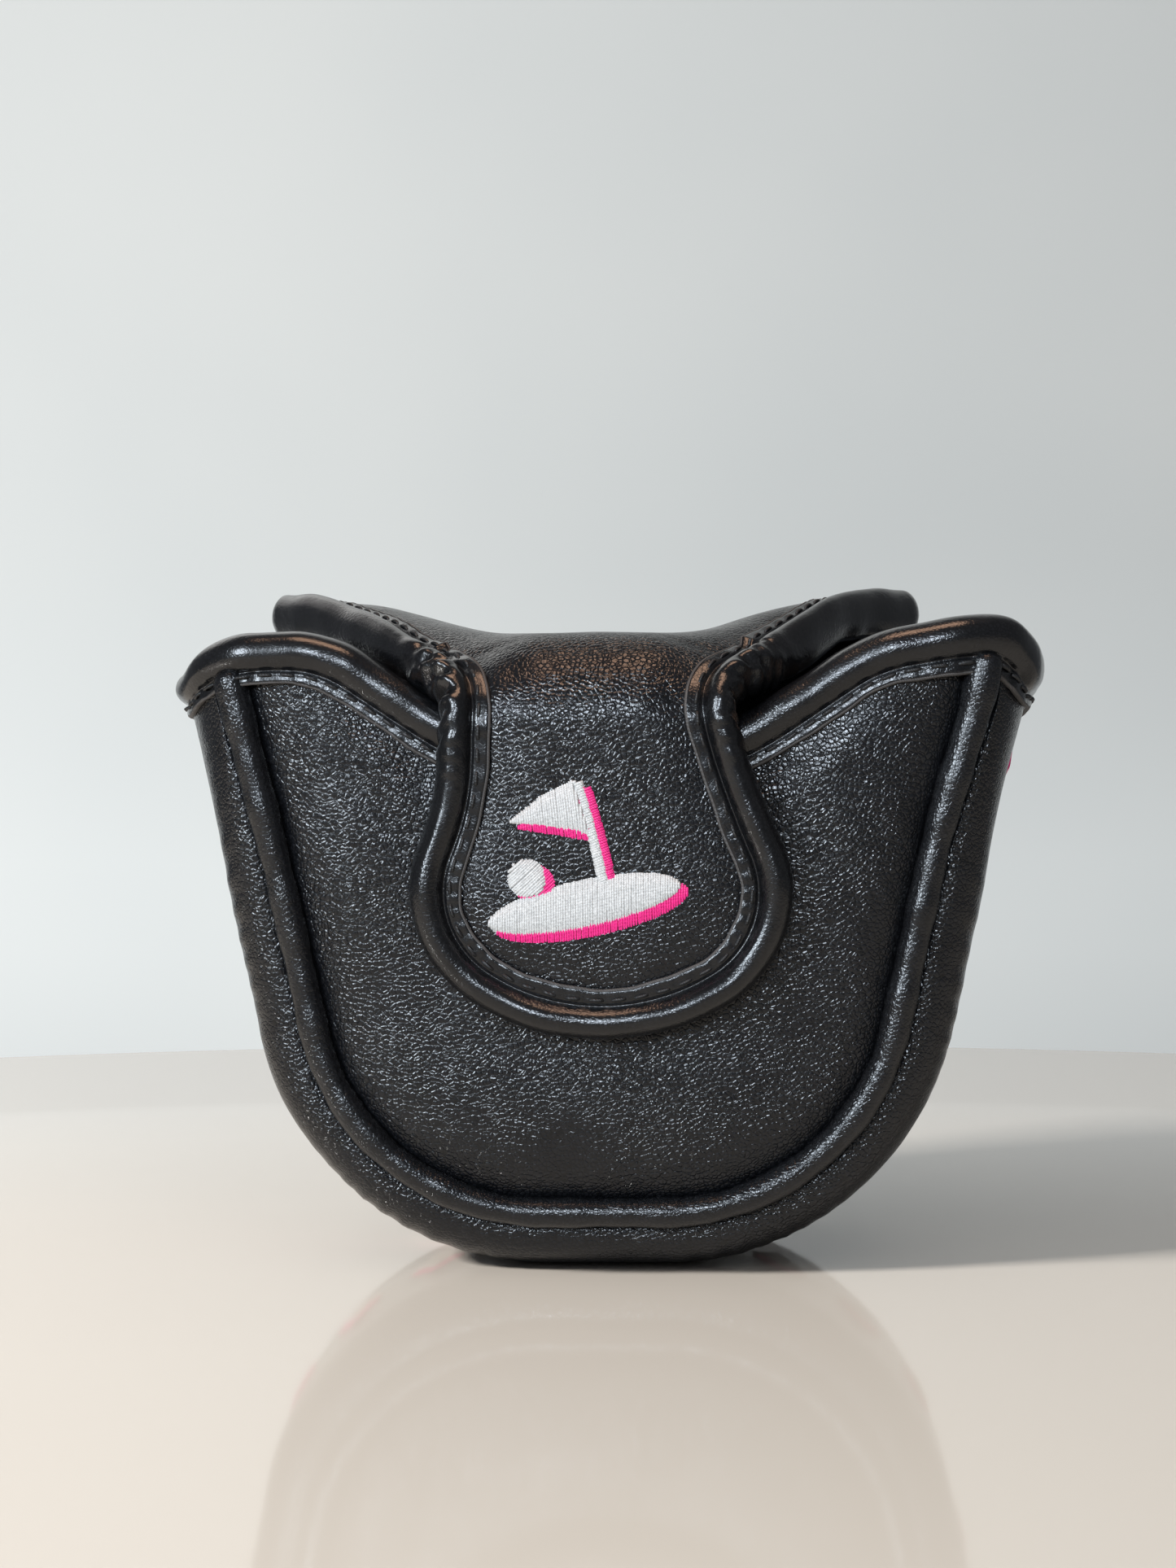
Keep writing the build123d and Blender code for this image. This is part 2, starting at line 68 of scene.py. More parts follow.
CHEEK_X, CHEEK_Z, CHEEK_R, TIP_R, FLANK_R = 9.0, 60.0, 19.3, 36.0, 60.0
CORNER_RUN = CORNER_R * (pi / 2 - LEAN)     # length of the seam's rounded corner
FINE = 0.7                                  # spacing of the leather's mesh
MOTIF = 4.7                                 # half the size of a diamond on the gusset
PITCH, STITCH, THREAD_R = 3.4, 2.5, 0.27    # the sewing: spacing, length and radius of a stitch
BAND, SUNK = 6.8, 0.8                       # the flap's stitched band: width, and the skin's depth in it


# ------------ small tools
def value_noise(p, size, seed):
    """Smooth noise in -1..1 at points p (n, 3), with features about `size` millimetres across."""
    q = np.asarray(p, float) / size + 37.3 * seed
    cell = np.floor(q).astype(np.int64)
    f = q - cell
    f = f * f * (3 - 2 * f)
    total = 0.0
    for dx, dy, dz in product((0, 1), repeat=3):
        h = (cell[..., 0] + dx) * 374761393 + (cell[..., 1] + dy) * 668265263
        h = h + (cell[..., 2] + dz) * 2147483647
        h = (h ^ (h >> 13)) * 1274126177
        h = ((h ^ (h >> 16)) & 0xFFFF) / 32767.5 - 1
        wx = f[..., 0] if dx else 1 - f[..., 0]
        wy = f[..., 1] if dy else 1 - f[..., 1]
        wz = f[..., 2] if dz else 1 - f[..., 2]
        total = total + h * wx * wy * wz
    return total


def unit(v):
    return v / np.maximum(np.linalg.norm(v, axis=-1, keepdims=True), 1e-9)


def smooth(x, a, b):
    t = np.clip((x - a) / (b - a), 0, 1)
    return t * t * (3 - 2 * t)


def bell(x, width):
    return np.exp(-(x / width) ** 2)


def length_to(points):
    """Length of a polyline from its start to each of its points."""
    return np.r_[0, np.cumsum(np.linalg.norm(np.diff(points, axis=0), axis=1))]


def resample(points, step):
    """Evenly spaced points along a polyline."""
    points = np.asarray(points, float)
    run = length_to(points)
    count = max(int(run[-1] / step), 2)
    at = np.linspace(0, run[-1], count + 1)
    return np.stack([np.interp(at, run, points[:, k]) for k in range(points.shape[1])], axis=1)


def spline(points, per=8):
    """Catmull-Rom curve through the points."""
    p = np.asarray(points, float)
    p = np.vstack([2 * p[0] - p[1], p, 2 * p[-1] - p[-2]])
    out = []
    for i in range(1, len(p) - 2):
        for t in np.linspace(0, 1, per, endpoint=False):
            out.append(0.5 * (2 * p[i] + (p[i + 1] - p[i - 1]) * t
                              + (2 * p[i - 1] - 5 * p[i] + 4 * p[i + 1] - p[i + 2]) * t * t
                              + (3 * p[i] - p[i - 1] - 3 * p[i + 1] + p[i + 2]) * t ** 3))
    out.append(p[-2])
    return np.array(out)


def grid_faces(rows, cols, wrap=False):
    i, j = np.meshgrid(np.arange(rows - 1), np.arange(cols if wrap else cols - 1), indexing="ij")
    k = (j + 1) % cols
    low, high = i * cols, (i + 1) * cols
    return np.stack([low + j, low + k, high + k, high + j], axis=-1).reshape(-1, 4)


def make(name, verts, faces, material, flip=False):
    """A smooth-shaded mesh object from points in millimetres."""
    faces = np.asarray(faces)
    if flip:
        faces = faces[:, ::-1]
    used = np.unique(faces)
    order = np.full(len(verts), -1)
    order[used] = np.arange(len(used))
    mesh = bpy.data.meshes.new(name)
    mesh.from_pydata((np.asarray(verts)[used] * MM).tolist(), [], order[faces].tolist())
    mesh.polygons.foreach_set("use_smooth", [True] * len(mesh.polygons))
    mesh.materials.append(material)
    mesh.update()
    obj = bpy.data.objects.new(name, mesh)
    bpy.context.collection.objects.link(obj)
    return obj


def sheet(name, rows, material, wrap=False, flip=False):
    """A mesh from rows of points; wrap joins the end of each row to its start."""
    return make(name, rows.reshape(-1, 3), grid_faces(*rows.shape[:2], wrap=wrap), material, flip=flip)


# ------------ materials
def node(tree, kind, **values):
    made = tree.nodes.new(kind)
    for key, value in values.items():
        if key in made.inputs:
            made.inputs[key].default_value = value
        else:
            setattr(made, key, value)
    return made


def new_material(name):
    mat = bpy.data.materials.new(name)
    mat.use_nodes = True
    tree = mat.node_tree
    shader = tree.nodes["Principled BSDF"]
    coords = tree.nodes.new("ShaderNodeTexCoord")
    return mat, tree, shader, coords.outputs["Object"]


def ramp(tree, source, low, high, a=0.0, b=1.0):
    """Maps source from low..high to a..b, clamped."""
    made = node(tree, "ShaderNodeMapRange", **{"From Min": low, "From Max": high, "To Min": a, "To Max": b})
    tree.links.new(source, made.inputs["Value"])
    return made.outputs["Result"]


def maths(tree, operation, a, b=None):
    made = tree.nodes.new("ShaderNodeMath")
    made.operation = operation
    for socket, value in ((0, a), (1, b)):
        if value is None:
            continue
        if isinstance(value, (int, float)):
            made.inputs[socket].default_value = value
        else:
            tree.links.new(value, made.inputs[socket])
    return made.outputs[0]


def mul(tree, a, b):
    return maths(tree, "MULTIPLY", a, b)


def add(tree, a, b):
    return maths(tree, "ADD", a, b)


def dial(shader, **values):
    for key, value in values.items():
        shader.inputs[key.replace("_", " ")].default_value = value


def feed(tree, source, *textures):
    """Gives the textures their coordinates."""
    for texture in textures:
        tree.links.new(source, texture.inputs["Vector"])


def relief(tree, shader, height, strength, distance):
    """Bump on the shader, `distance` millimetres deep."""
    bump = node(tree, "ShaderNodeBump", Strength=strength, Distance=distance * MM)
    tree.links.new(height, bump.inputs["Height"])
    tree.links.new(bump.outputs["Normal"], shader.inputs["Normal"])


def colour(tree, shader, dark, light, factor):
    """Base colour between two tints."""
    mix = node(tree, "ShaderNodeMixRGB", blend_type="MIX", Color1=(*dark, 1), Color2=(*light, 1))
    tree.links.new(factor, mix.inputs["Fac"])
    tree.links.new(mix.outputs[0], shader.inputs["Base Color"])


def times(tint, *by):
    """A tint made lighter or darker."""
    return tuple(min(t * b, 1) for t, b in zip(tint, by * 3 if len(by) == 1 else by))


def dome(tree, distance):
    """1 - distance squared: round tops over a cell texture."""
    return maths(tree, "SUBTRACT", 1.0, mul(tree, distance, distance))


def leather(name, tint, rough, cell, depth, crinkle, coat):
    """Coated leather: warped domed pebbles whose depth wanders, fine pores, long creases and rub marks, with
    painted shade in the grooves between pebbles.
    """
    mat, tree, shader, where = new_material(name)
    warp = node(tree, "ShaderNodeTexNoise", Scale=420.0, Detail=2.0)
    feed(tree, where, warp)
    push = node(tree, "ShaderNodeVectorMath", operation="SCALE", Scale=0.0004)
    tree.links.new(warp.outputs["Color"], push.inputs[0])
    moved = node(tree, "ShaderNodeVectorMath", operation="ADD")
    tree.links.new(where, moved.inputs[0])
    tree.links.new(push.outputs[0], moved.inputs[1])
    edges = node(tree, "ShaderNodeTexVoronoi", Scale=1.0 / (cell * MM), feature="DISTANCE_TO_EDGE")
    plates = node(tree, "ShaderNodeTexVoronoi", Scale=0.42 / (cell * MM), feature="DISTANCE_TO_EDGE")
    domes = node(tree, "ShaderNodeTexVoronoi", Scale=1.0 / (cell * MM), feature="F1")
    small = node(tree, "ShaderNodeTexVoronoi", Scale=2.2 / (cell * MM), feature="F1")
    pores = node(tree, "ShaderNodeTexNoise", Scale=4200.0, Detail=2.0)
    long = node(tree, "ShaderNodeTexNoise", Scale=120.0, Detail=4.0, Distortion=1.2)
    areas = node(tree, "ShaderNodeTexNoise", Scale=45.0, Detail=3.0)
    rub = node(tree, "ShaderNodeTexNoise", Scale=230.0, Detail=5.0)
    feed(tree, moved.outputs[0], edges, plates, domes, small)
    feed(tree, where, pores, long, areas, rub)
    crest = ramp(tree, edges.outputs["Distance"], 0.0, 0.2)
    round_top = dome(tree, domes.outputs["Distance"])
    fine = dome(tree, small.outputs["Distance"])
    calm = ramp(tree, areas.outputs["Fac"], 0.35, 0.65, 0.45, 1.0)
    pebble = add(tree, mul(tree, crest, 0.5), mul(tree, round_top, 0.6))
    grain = add(tree, mul(tree, pebble, calm), mul(tree, fine, 0.1))
    crease = maths(tree, "ABSOLUTE", maths(tree, "SUBTRACT", long.outputs["Fac"], 0.5))
    crease = ramp(tree, crease, 0.0, 0.05)
    split = mul(tree, ramp(tree, plates.outputs["Distance"], 0.0, 0.12),
                  ramp(tree, areas.outputs["Fac"], 0.42, 0.62, 0.0, 1.2))
    height = add(tree, grain, mul(tree, add(tree, crease, split), crinkle))
    height = add(tree, height, mul(tree, pores.outputs["Fac"], 0.06))
    relief(tree, shader, height, 1.0, depth)
    worn = ramp(tree, rub.outputs["Fac"], 0.3, 0.7, rough - 0.03, rough + 0.05)
    worn = maths(tree, "SUBTRACT", worn, mul(tree, crest, 0.05))
    tree.links.new(worn, shader.inputs["Roughness"])
    # painted shade: the base colour is darker in the pebble grooves and lighter on the crests, and the rub
    # noise varies how much the crests are lightened
    rubbed = ramp(tree, rub.outputs["Fac"], 0.25, 0.75, 0.7, 1.0)
    groove_shade_and_rub = mul(tree, crest, rubbed)
    colour(tree, shader, times(tint, 0.4), times(tint, 1.35, 1.32, 1.3), groove_shade_and_rub)
    dial(shader, IOR=1.5, Specular_IOR_Level=0.4, Coat_Weight=coat, Coat_Roughness=0.2)
    return mat


def thread(name, tint, rough, sheen):
    """Twisted thread: fine ridges that wind round it, with uneven dye."""
    mat, tree, shader, where = new_material(name)
    wave = node(tree, "ShaderNodeTexWave", Scale=1500.0, Distortion=1.5, Detail=1.0,
                bands_direction="DIAGONAL")
    fuzz = node(tree, "ShaderNodeTexNoise", Scale=3000.0, Detail=2.0)
    feed(tree, where, wave, fuzz)
    relief(tree, shader, add(tree, wave.outputs["Fac"], fuzz.outputs["Fac"]), 0.5, 0.08)
    colour(tree, shader, times(tint, 0.72), times(tint, 1.1), ramp(tree, fuzz.outputs["Fac"], 0.3, 0.7))
    twist = ramp(tree, wave.outputs["Fac"], 0.0, 1.0, rough - 0.08, rough + 0.08)
    tree.links.new(twist, shader.inputs["Roughness"])
    dial(shader, Sheen_Weight=sheen)
    return mat


def plush(name, tint):
    """Short-pile lining: tufted nap, its colour painted darker in the low spots of the pile as shade, and
    lighter and darker in brushed patches.
    """
    mat, tree, shader, where = new_material(name)
    tuft = node(tree, "ShaderNodeTexNoise", Scale=1100.0, Detail=6.0, Roughness=0.75)
    brush = node(tree, "ShaderNodeTexNoise", Scale=90.0, Detail=3.0, Distortion=0.6)
    feed(tree, where, tuft, brush)
    relief(tree, shader, tuft.outputs["Fac"], 1.0, 0.8)
    stroked = ramp(tree, brush.outputs["Fac"], 0.3, 0.7, 0.5, 1.0)
    # painted shade: the colour follows the tuft bump and is darker where the pile is low; the brush noise
    # scales it in patches
    level = mul(tree, ramp(tree, tuft.outputs["Fac"], 0.3, 0.7), stroked)
    colour(tree, shader, times(tint, 0.45), times(tint, 1.5), level)
    tree.links.new(ramp(tree, brush.outputs["Fac"], 0.3, 0.7, 0.82, 1.0), shader.inputs["Roughness"])
    dial(shader, Sheen_Weight=0.15, Sheen_Roughness=0.4)
    return mat


def steel(name):
    """Nickel-plated disc with fine turning marks."""
    mat, tree, shader, where = new_material(name)
    marks = node(tree, "ShaderNodeTexNoise", Scale=1800.0, Detail=4.0)
    feed(tree, where, marks)
    relief(tree, shader, marks.outputs["Fac"], 0.2, 0.04)
    colour(tree, shader, (0.45, 0.45, 0.46), (0.7, 0.69, 0.67), marks.outputs["Fac"])
    tree.links.new(ramp(tree, marks.outputs["Fac"], 0.2, 0.8, 0.22, 0.42), shader.inputs["Roughness"])
    dial(shader, Metallic=1.0)
    return mat


GRAIN = leather("grained_leather", (0.0052, 0.0056, 0.0068), 0.23, 0.70, 0.12, 0.22, 0.0)
SMOOTH = leather("smooth_leather", (0.0052, 0.0054, 0.0062), 0.24, 0.6, 0.03, 0.4, 0.15)
PIPE = leather("piping_leather", (0.0058, 0.0061, 0.0072), 0.25, 0.65, 0.06, 0.3, 0.1)
RAW = thread("raw_edge", (0.05, 0.045, 0.042), 0.55, 0.0)
BLACK = thread("black_thread", (0.006, 0.006, 0.0065), 0.5, 0.0)
WHITE = thread("white_thread", (0.56, 0.55, 0.53), 0.42, 0.2)
PINK = thread("pink_thread", (0.76, 0.012, 0.20), 0.42, 0.1)
PLUSH = plush("plush_lining", (0.03, 0.03, 0.034))
STEEL = steel("magnet_plate")


# ------------ shapes of the pouch
def settle(p):
    """The slight slackness of a stuffed leather object, the same for every piece at a place."""
    p = np.asarray(p, float)
    soft = smooth(p[..., 2], 2.0, 30.0)
    out = p.copy()
    for k, (amount, size) in enumerate(((0.55, 34), (0.45, 30), (0.5, 38))):
        out[..., k] += amount * soft * value_noise(p, size, k + 1)
    return out


def pouch_settle(p):
    """Slackness of the pouch, whose mouth gapes at its right corner and sags at its left one."""
    p = np.asarray(p, float)
    out = settle(p)
    x, y, z = p[..., 0], p[..., 1], p[..., 2]
    fore = smooth(-y, -18.0, -6.0)
    right, left = fore * smooth(x, 40, 62), fore * smooth(-x, 44, 64)
    out[..., 0] += 2.5 * right * smooth(z, 62, 90)
    out[..., 2] += 2.3 * right * smooth(z, 87, 96)
    out[..., 0] -= 1.2 * left * (smooth(z, 60, 84) - 0.8 * smooth(z, 90, 98))
    out[..., 2] -= 1.3 * left * smooth(z, 80, 96)
    return out


def seam_out(x, z):
    """Distance outside the seam line, in the X-Z plane."""
    x = np.abs(x)
    arc = np.hypot(x - FOOT, z - CORNER_Z) - CORNER_R
    side = (x - SIDE_X) * cos(LEAN) - (z - SIDE_Z) * sin(LEAN)
    angle = np.arctan2(z - CORNER_Z, x - FOOT)
    flat = BULGE - z
    foot = np.maximum(flat, np.where(z > CORNER_Z, -50, flat))
    return np.where(x < FOOT, foot, np.where(angle > -LEAN, side, arc))


def rim_under(x, z):
    """Distance below the front rim's top line."""
    x = np.abs(x)
    dip = np.hypot(x, z - DIP_C) - DIP_R
    rise = (x - DIP_R * sin(RISE)) * sin(RISE) - (z - DIP_C + DIP_R * cos(RISE)) * cos(RISE)
    hump = SHOULDER_R - np.hypot(x - SHOULDER_X, z - SHOULDER_C)
    along = x * cos(RISE) + (z - DIP_C) * sin(RISE)
    start = along < 0
    end = along > RISE_RUN
    flat = RIM_TOP - z
    return np.where(start, dip, np.where(x > SHOULDER_X, flat, np.where(end, hump, rise)))


def u_path(top_z, step=0.8):
    """Right half of the seam from the middle of the foot to height top_z, with outward normals."""
    pts, nor = [], []
    for x in np.linspace(0, FOOT, int(FOOT / step) + 1)[:-1]:
        pts.append((x, BULGE))
        nor.append((0, -1))
    for a in np.linspace(-pi / 2, -LEAN, int(CORNER_RUN / step))[:-1]:
        pts.append((FOOT + CORNER_R * cos(a), CORNER_Z + CORNER_R * sin(a)))
        nor.append((cos(a), sin(a)))
    run = (top_z - SIDE_Z) / cos(LEAN)
    for t in np.linspace(0, run, int(run / step) + 1):
        pts.append((SIDE_X + t * sin(LEAN), SIDE_Z + t * cos(LEAN)))
        nor.append((cos(LEAN), -sin(LEAN)))
    pts, nor = np.array(pts), np.array(nor)
    left, left_n = pts[:0:-1] * (-1, 1), nor[:0:-1] * (-1, 1)
    return np.vstack([left, pts]), np.vstack([left_n, nor])


def rounded_ends(rows, reach):
    """Closes both ends of a swept roll with a tucked-in, rounded end."""
    def end(row, before):
        centre = row.mean(axis=0)
        ahead = unit(centre - before.mean(axis=0))
        return [centre + (row - centre) * cos(a) + ahead * reach * sin(a) for a in (0.5, 0.95, 1.3, 1.55)]
    return np.concatenate([end(rows[0], rows[1])[::-1], rows, end(rows[-1], rows[-2])])


def seam_tube(name, side, top_z, material):
    """Corded piping along one seam, slightly uneven, with fine gathers where it turns."""
    path, nor = u_path(top_z, step=0.55)
    turn = np.linspace(0, 2 * pi, 28, endpoint=False)
    run = length_to(path)
    y = side * (SEAM_Y + PIPE_R - 0.1)
    ring = []
    for i in range(len(path)):
        x, z = path[i]
        bend = 1.0 if hypot(abs(x) - FOOT, z - CORNER_Z) < CORNER_R + 0.5 and z < CORNER_Z else 0.25
        gather = 0.07 * bend * np.sin(run[i] * 2 * pi / 1.9 + 1.3 * sin(run[i] * 0.21))
        gather = gather * np.clip(np.cos(turn), 0, 1) ** 2
        r = PIPE_R + 0.1 * sin(run[i] * 0.37) + 0.06 * sin(run[i] * 0.93 + 1) - gather
        out = r * np.cos(turn)
        deep = r * np.sin(turn)
        ring.append(np.stack([x - nor[i][0] * out, y + side * deep, z - nor[i][1] * out], axis=1))
    rows = rounded_ends(pouch_settle(np.array(ring)), 1.6)
    return sheet(name, rows, material, wrap=True, flip=side < 0)


def panel_height(x, z):
    """How far a panel stands out from the seam plane: steep at the groove, full in the middle."""
    inside = -seam_out(x, z)
    rise = 1 - np.exp(-np.clip(inside - 1.0, 0, None) / 3.1)
    full = smooth(inside, 3, 22)
    return 4.05 * rise + 0.75 * full


def gathers(x, z, size):
    """Short radial tucks that start in the seam and die out inside."""
    inside = -seam_out(x, z)
    around = np.where(z < CORNER_Z, CORNER_R * np.arctan2(np.abs(x) - FOOT, CORNER_Z - z), z + 12)
    wave = np.sin(around * 2 * pi / 3.1 + 2.2 * np.sin(around * 0.31) + 1.7 * np.sign(x))
    keep = 0.55 + 0.45 * np.sin(around * 0.23 + 1.1 * np.sign(x))
    return size * wave * keep * bell(inside - 2.2, 2.4)


def front_panel():
    xs = np.arange(-58, 58.01, FINE)
    zs = np.arange(9, 100, FINE)
    x, z = np.meshgrid(xs, zs, indexing="ij")
    height = panel_height(x, z)
    under = rim_under(x, z)
    flatten = smooth(under, 14, 6)
    height = height * (1 - flatten) + flatten * np.minimum(height, 3.95)
    belly = np.exp(-((z - 24) / 11) ** 2 - (x / 34) ** 2)
    height += 0.9 * belly
    flank = np.exp(-((np.abs(x) - 38) / 9) ** 2 - ((z - 62) / 20) ** 2)
    height += 0.9 * flank
    p = np.stack([x, -(SEAM_Y + height), z], axis=-1)
    wander = value_noise(p, 13, 5) * 0.14 + value_noise(p, 6, 6) * 0.06
    drag = np.sin((x * 0.62 + z * 0.35) * 1.1 + 1.5 * value_noise(p, 16, 7)) * 0.07
    p[..., 1] -= wander + drag * bell(z - 70, 16) + gathers(x, z, 0.13)
    verts = pouch_settle(p).reshape(-1, 3)
    keep = ((seam_out(x, z) < 0.6) & (under > 3.2)).reshape(-1)
    faces = grid_faces(len(xs), len(zs))
    faces = faces[keep[faces].all(axis=1)]
    return make("front_panel", verts, faces, GRAIN, flip=True)


def under_rim(n, y, z):
    """Draws the gusset in towards its top, so that the binding stands proud of it."""
    top = RIM_TOP - ROLL + 1.0 - rim_drop(y)
    limit = np.interp(y, RIM_TURN[:, 1], RIM_TURN[:, 0]) - 0.45
    return n - smooth(z, 58, top) * np.maximum(n - limit, 0)


def gusset_band():
    """Padded band round the pouch, tucked where the seams pull it in."""
    arc = np.linspace(0, pi / 2, 22)
    shoulder = SEAM_Y - GUSSET_R + GUSSET_R * np.cos(arc)
    shoulder += 1.5 * np.sin(2 * arc) - 0.9 * np.exp(-(arc / 0.12) ** 2)
    half_y = np.r_[SEAM_Y - 0.9, shoulder, np.linspace(SEAM_Y - GUSSET_R, 0, 14)[1:]]
    middle = BULGE + CROWN * smooth(np.linspace(0, 1, 14)[1:], 0, 1)
    half_n = np.r_[-0.4, BULGE - GUSSET_R + GUSSET_R * np.sin(arc), middle]
    ys = np.r_[-half_y, half_y[-2::-1]]
    ns = np.r_[half_n, half_n[-2::-1]]
    rise = 40.0
    path, nor = u_path(SIDE_Z + rise)
    frac = np.clip((path[:, 1] - SIDE_Z) / rise, 0, None)
    over = (frac > 0) & (np.abs(path[:, 0]) >= SIDE_X - 1e-6)
    cols = []
    for y, n in zip(ys, ns):
        top = RIM_TOP - ROLL + 1.0 - rim_drop(y)
        z = np.where(over, SIDE_Z + frac * (top - SIDE_Z), path[:, 1])
        x = np.where(over, np.sign(path[:, 0]) * (SIDE_X + (z - SIDE_Z) * tan(LEAN)), path[:, 0])
        n = under_rim(n, y, z)
        cols.append(np.stack([x + nor[:, 0] * n, np.full(len(x), y), z + nor[:, 1] * n], axis=1))
    p = np.array(cols).transpose(1, 0, 2)
    run = length_to(p[:, p.shape[1] // 2])[:, None]
    out = np.stack([nor[:, 0], np.zeros(len(nor)), nor[:, 1]], axis=1)[:, None, :]
    near = np.exp(-((np.abs(np.abs(ys) - 19.5)) / 3.2) ** 2)[None, :]
    sign = np.sign(ys)[None, :]
    tuck = np.sin(run * 2 * pi / 4.3 + 1.9 * np.sin(run * 0.17 + sign) + sign)
    tuck = tuck * (0.5 + 0.5 * np.sin(run * 0.11 + 2 * sign))
    lift = 0.2 * near * tuck + 0.16 * value_noise(p, 12, 9) + 0.07 * value_noise(p, 5, 10)
    lift = lift * smooth(p[..., 2], 0.2, 2.5)
    p = p + out * lift[..., None]
    p = pouch_settle(p)
    p[..., 2] = np.maximum(p[..., 2], 0.02)
    return sheet("gusset_band", p, GRAIN)


# ------------ the flap's outer surface
V_SKIRT = FLAP_TOP - BACK_R - FOLD_Z
V_BACK = V_SKIRT + BACK_R * pi / 2
V_TOP = V_BACK + (PANEL_Y - BACK_R - BEND_Y)
V_BEND = V_TOP + BEND_R * pi / 2
BEND_Z = FLAP_TOP - BEND_R
V_SPLIT = V_BACK + 22.0
LIFT_LEFT = spline([(0, 5.9), (0.25, 5.2), (0.45, 3.7), (0.67, 1.7), (0.86, -0.9), (1, -2.6)], 8)
LIFT_RIGHT = spline([(0, 5.9), (0.2, 5.9), (0.37, 5.6), (0.55, 4.5), (0.83, 0.5), (1, -2.2)], 8)
WING_FLAT, WING_FULL = (18.0, 8.0), (47.0, 20.0)


def wing_lift(x, v):
    """Rise of the flap towards its edges: the wings stand up at the back and dip as they near the neck."""
    y = PANEL_Y - BACK_R - (v - V_BACK)
    forward = np.clip((WING_Y - y) / (WING_Y + 24.0), 0, 1)
    reach = np.where(x < 0, np.interp(forward, *LIFT_LEFT.T), np.interp(forward, *LIFT_RIGHT.T))
    flat_to = WING_FLAT[0] + (WING_FLAT[1] - WING_FLAT[0]) * forward
    full_from = WING_FULL[0] + (WING_FULL[1] - WING_FULL[0]) * forward
    fade = 1 - smooth(v, V_TOP + 5, V_BEND + 4)
    return reach * smooth(np.abs(x), flat_to, full_from) * fade


def flap_point(x, v):
    """A point of the flap's outer surface: x across, v along it from the back fold to the tip."""
    x, v = np.broadcast_arrays(np.asarray(x, float), np.asarray(v, float))
    top = FLAP_TOP + wing_lift(x, v)
    y = np.full(x.shape, PANEL_Y)
    z = FOLD_Z + v
    t = np.clip(v / V_SKIRT, 0, 1)
    z = np.where(v > 0, FOLD_Z + t * (top - BACK_R - FOLD_Z), z)
    a = np.clip((v - V_SKIRT) / BACK_R, 0, pi / 2)
    y = np.where(v > V_SKIRT, PANEL_Y - BACK_R + BACK_R * np.cos(a), y)
    z = np.where(v > V_SKIRT, top - BACK_R + BACK_R * np.sin(a), z)
    y = np.where(v > V_BACK, PANEL_Y - BACK_R - (v - V_BACK), y)
    z = np.where(v > V_BACK, top, z)
    b = np.clip((v - V_TOP) / BEND_R, 0, pi / 2)
    y = np.where(v > V_TOP, BEND_Y - BEND_R * np.sin(b), y)
    z = np.where(v > V_TOP, top - BEND_R + BEND_R * np.cos(b), z)
    y = np.where(v > V_BEND, -FLAP_FRONT, y)
    z = np.where(v > V_BEND, BEND_Z - (v - V_BEND), z)
    return np.stack([x, y, z], axis=-1)


def flap_frame(x, v):
    """Point, direction across, direction along and outward normal of the flap's surface."""
    e = 0.15
    p = flap_point(x, v)
    across = unit(flap_point(x + e, v) - flap_point(x - e, v))
    along = unit(flap_point(x, v + e) - flap_point(x, v - e))
    out = unit(np.cross(along, across))
    return p, across, along, out


def fillet_line(points, radii):
    """Polyline with its inner corners rounded."""
    points = [np.array(p, float) for p in points]
    out = [points[0]]
    for i in range(1, len(points) - 1):
        a, b, c = points[i - 1], points[i], points[i + 1]
        u, w = unit(a - b), unit(c - b)
        half = np.arccos(np.clip(u @ w, -1, 1)) / 2
        cut = radii[i - 1] / np.tan(half)
        centre = b + unit(u + w) * radii[i - 1] / np.sin(half)
        p, q = b + u * cut - centre, b + w * cut - centre
        a0, a1 = atan2(p[1], p[0]), atan2(q[1], q[0])
        turn = (a1 - a0 + pi) % (2 * pi) - pi
        for t in np.linspace(0, 1, 24):
            out.append(centre + radii[i - 1] * np.array([cos(a0 + turn * t), sin(a0 + turn * t)]))
    out.append(points[-1])
    return np.array(out)


def flap_outline():
    """Edge of the flap in (x, v), from the left skirt round the tongue's tip to the right skirt."""
    def at_y(y):
        return V_BACK + PANEL_Y - BACK_R - y
    def at_z(z):
        return V_BEND + BEND_Z - z
    neck = NECK_X - 0.5
    wing = fillet_line([(WING_X - 0.6, 1.0), (WING_X + 2.6, at_y(WING_Y)),
                        (neck + 0.3, V_TOP + 13.0), (neck, at_z(88))], [7, 12])
    flank_x = neck + FLANK_R
    flank_z = CHEEK_Z + sqrt((FLANK_R + CHEEK_R) ** 2 - (flank_x - CHEEK_X) ** 2)
    tip_c = CHEEK_Z + sqrt((TIP_R - CHEEK_R) ** 2 - CHEEK_X ** 2)
    pts = []
    low = atan2(CHEEK_Z - flank_z, CHEEK_X - flank_x)
    for a in np.linspace(-pi, low, 40):
        pts.append((flank_x + FLANK_R * cos(a), at_z(flank_z + FLANK_R * sin(a))))
    first = atan2(flank_z - CHEEK_Z, flank_x - CHEEK_X)
    last = atan2(CHEEK_Z - tip_c, CHEEK_X)
    for a in np.linspace(first, last, 50)[1:]:
        pts.append((CHEEK_X + CHEEK_R * cos(a), at_z(CHEEK_Z + CHEEK_R * sin(a))))
    for a in np.linspace(last, -pi / 2, 30)[1:]:
        pts.append((TIP_R * cos(a), at_z(tip_c + TIP_R * sin(a))))
    pts = [p for p in pts if p[1] > wing[-1][1] + 0.5 or len(pts) < 3]
    half = np.vstack([wing, pts])
    return resample(np.vstack([half * (-1, 1), half[-2::-1]]), 0.6)


OUTLINE = flap_outline()


def inset(x, v):
    """Distance inside the flap's edge, measured along its surface."""
    best = np.full(np.shape(x), 1e9)
    for px, pv in OUTLINE:
        best = np.minimum(best, np.hypot(x - px, v - pv))
    return best


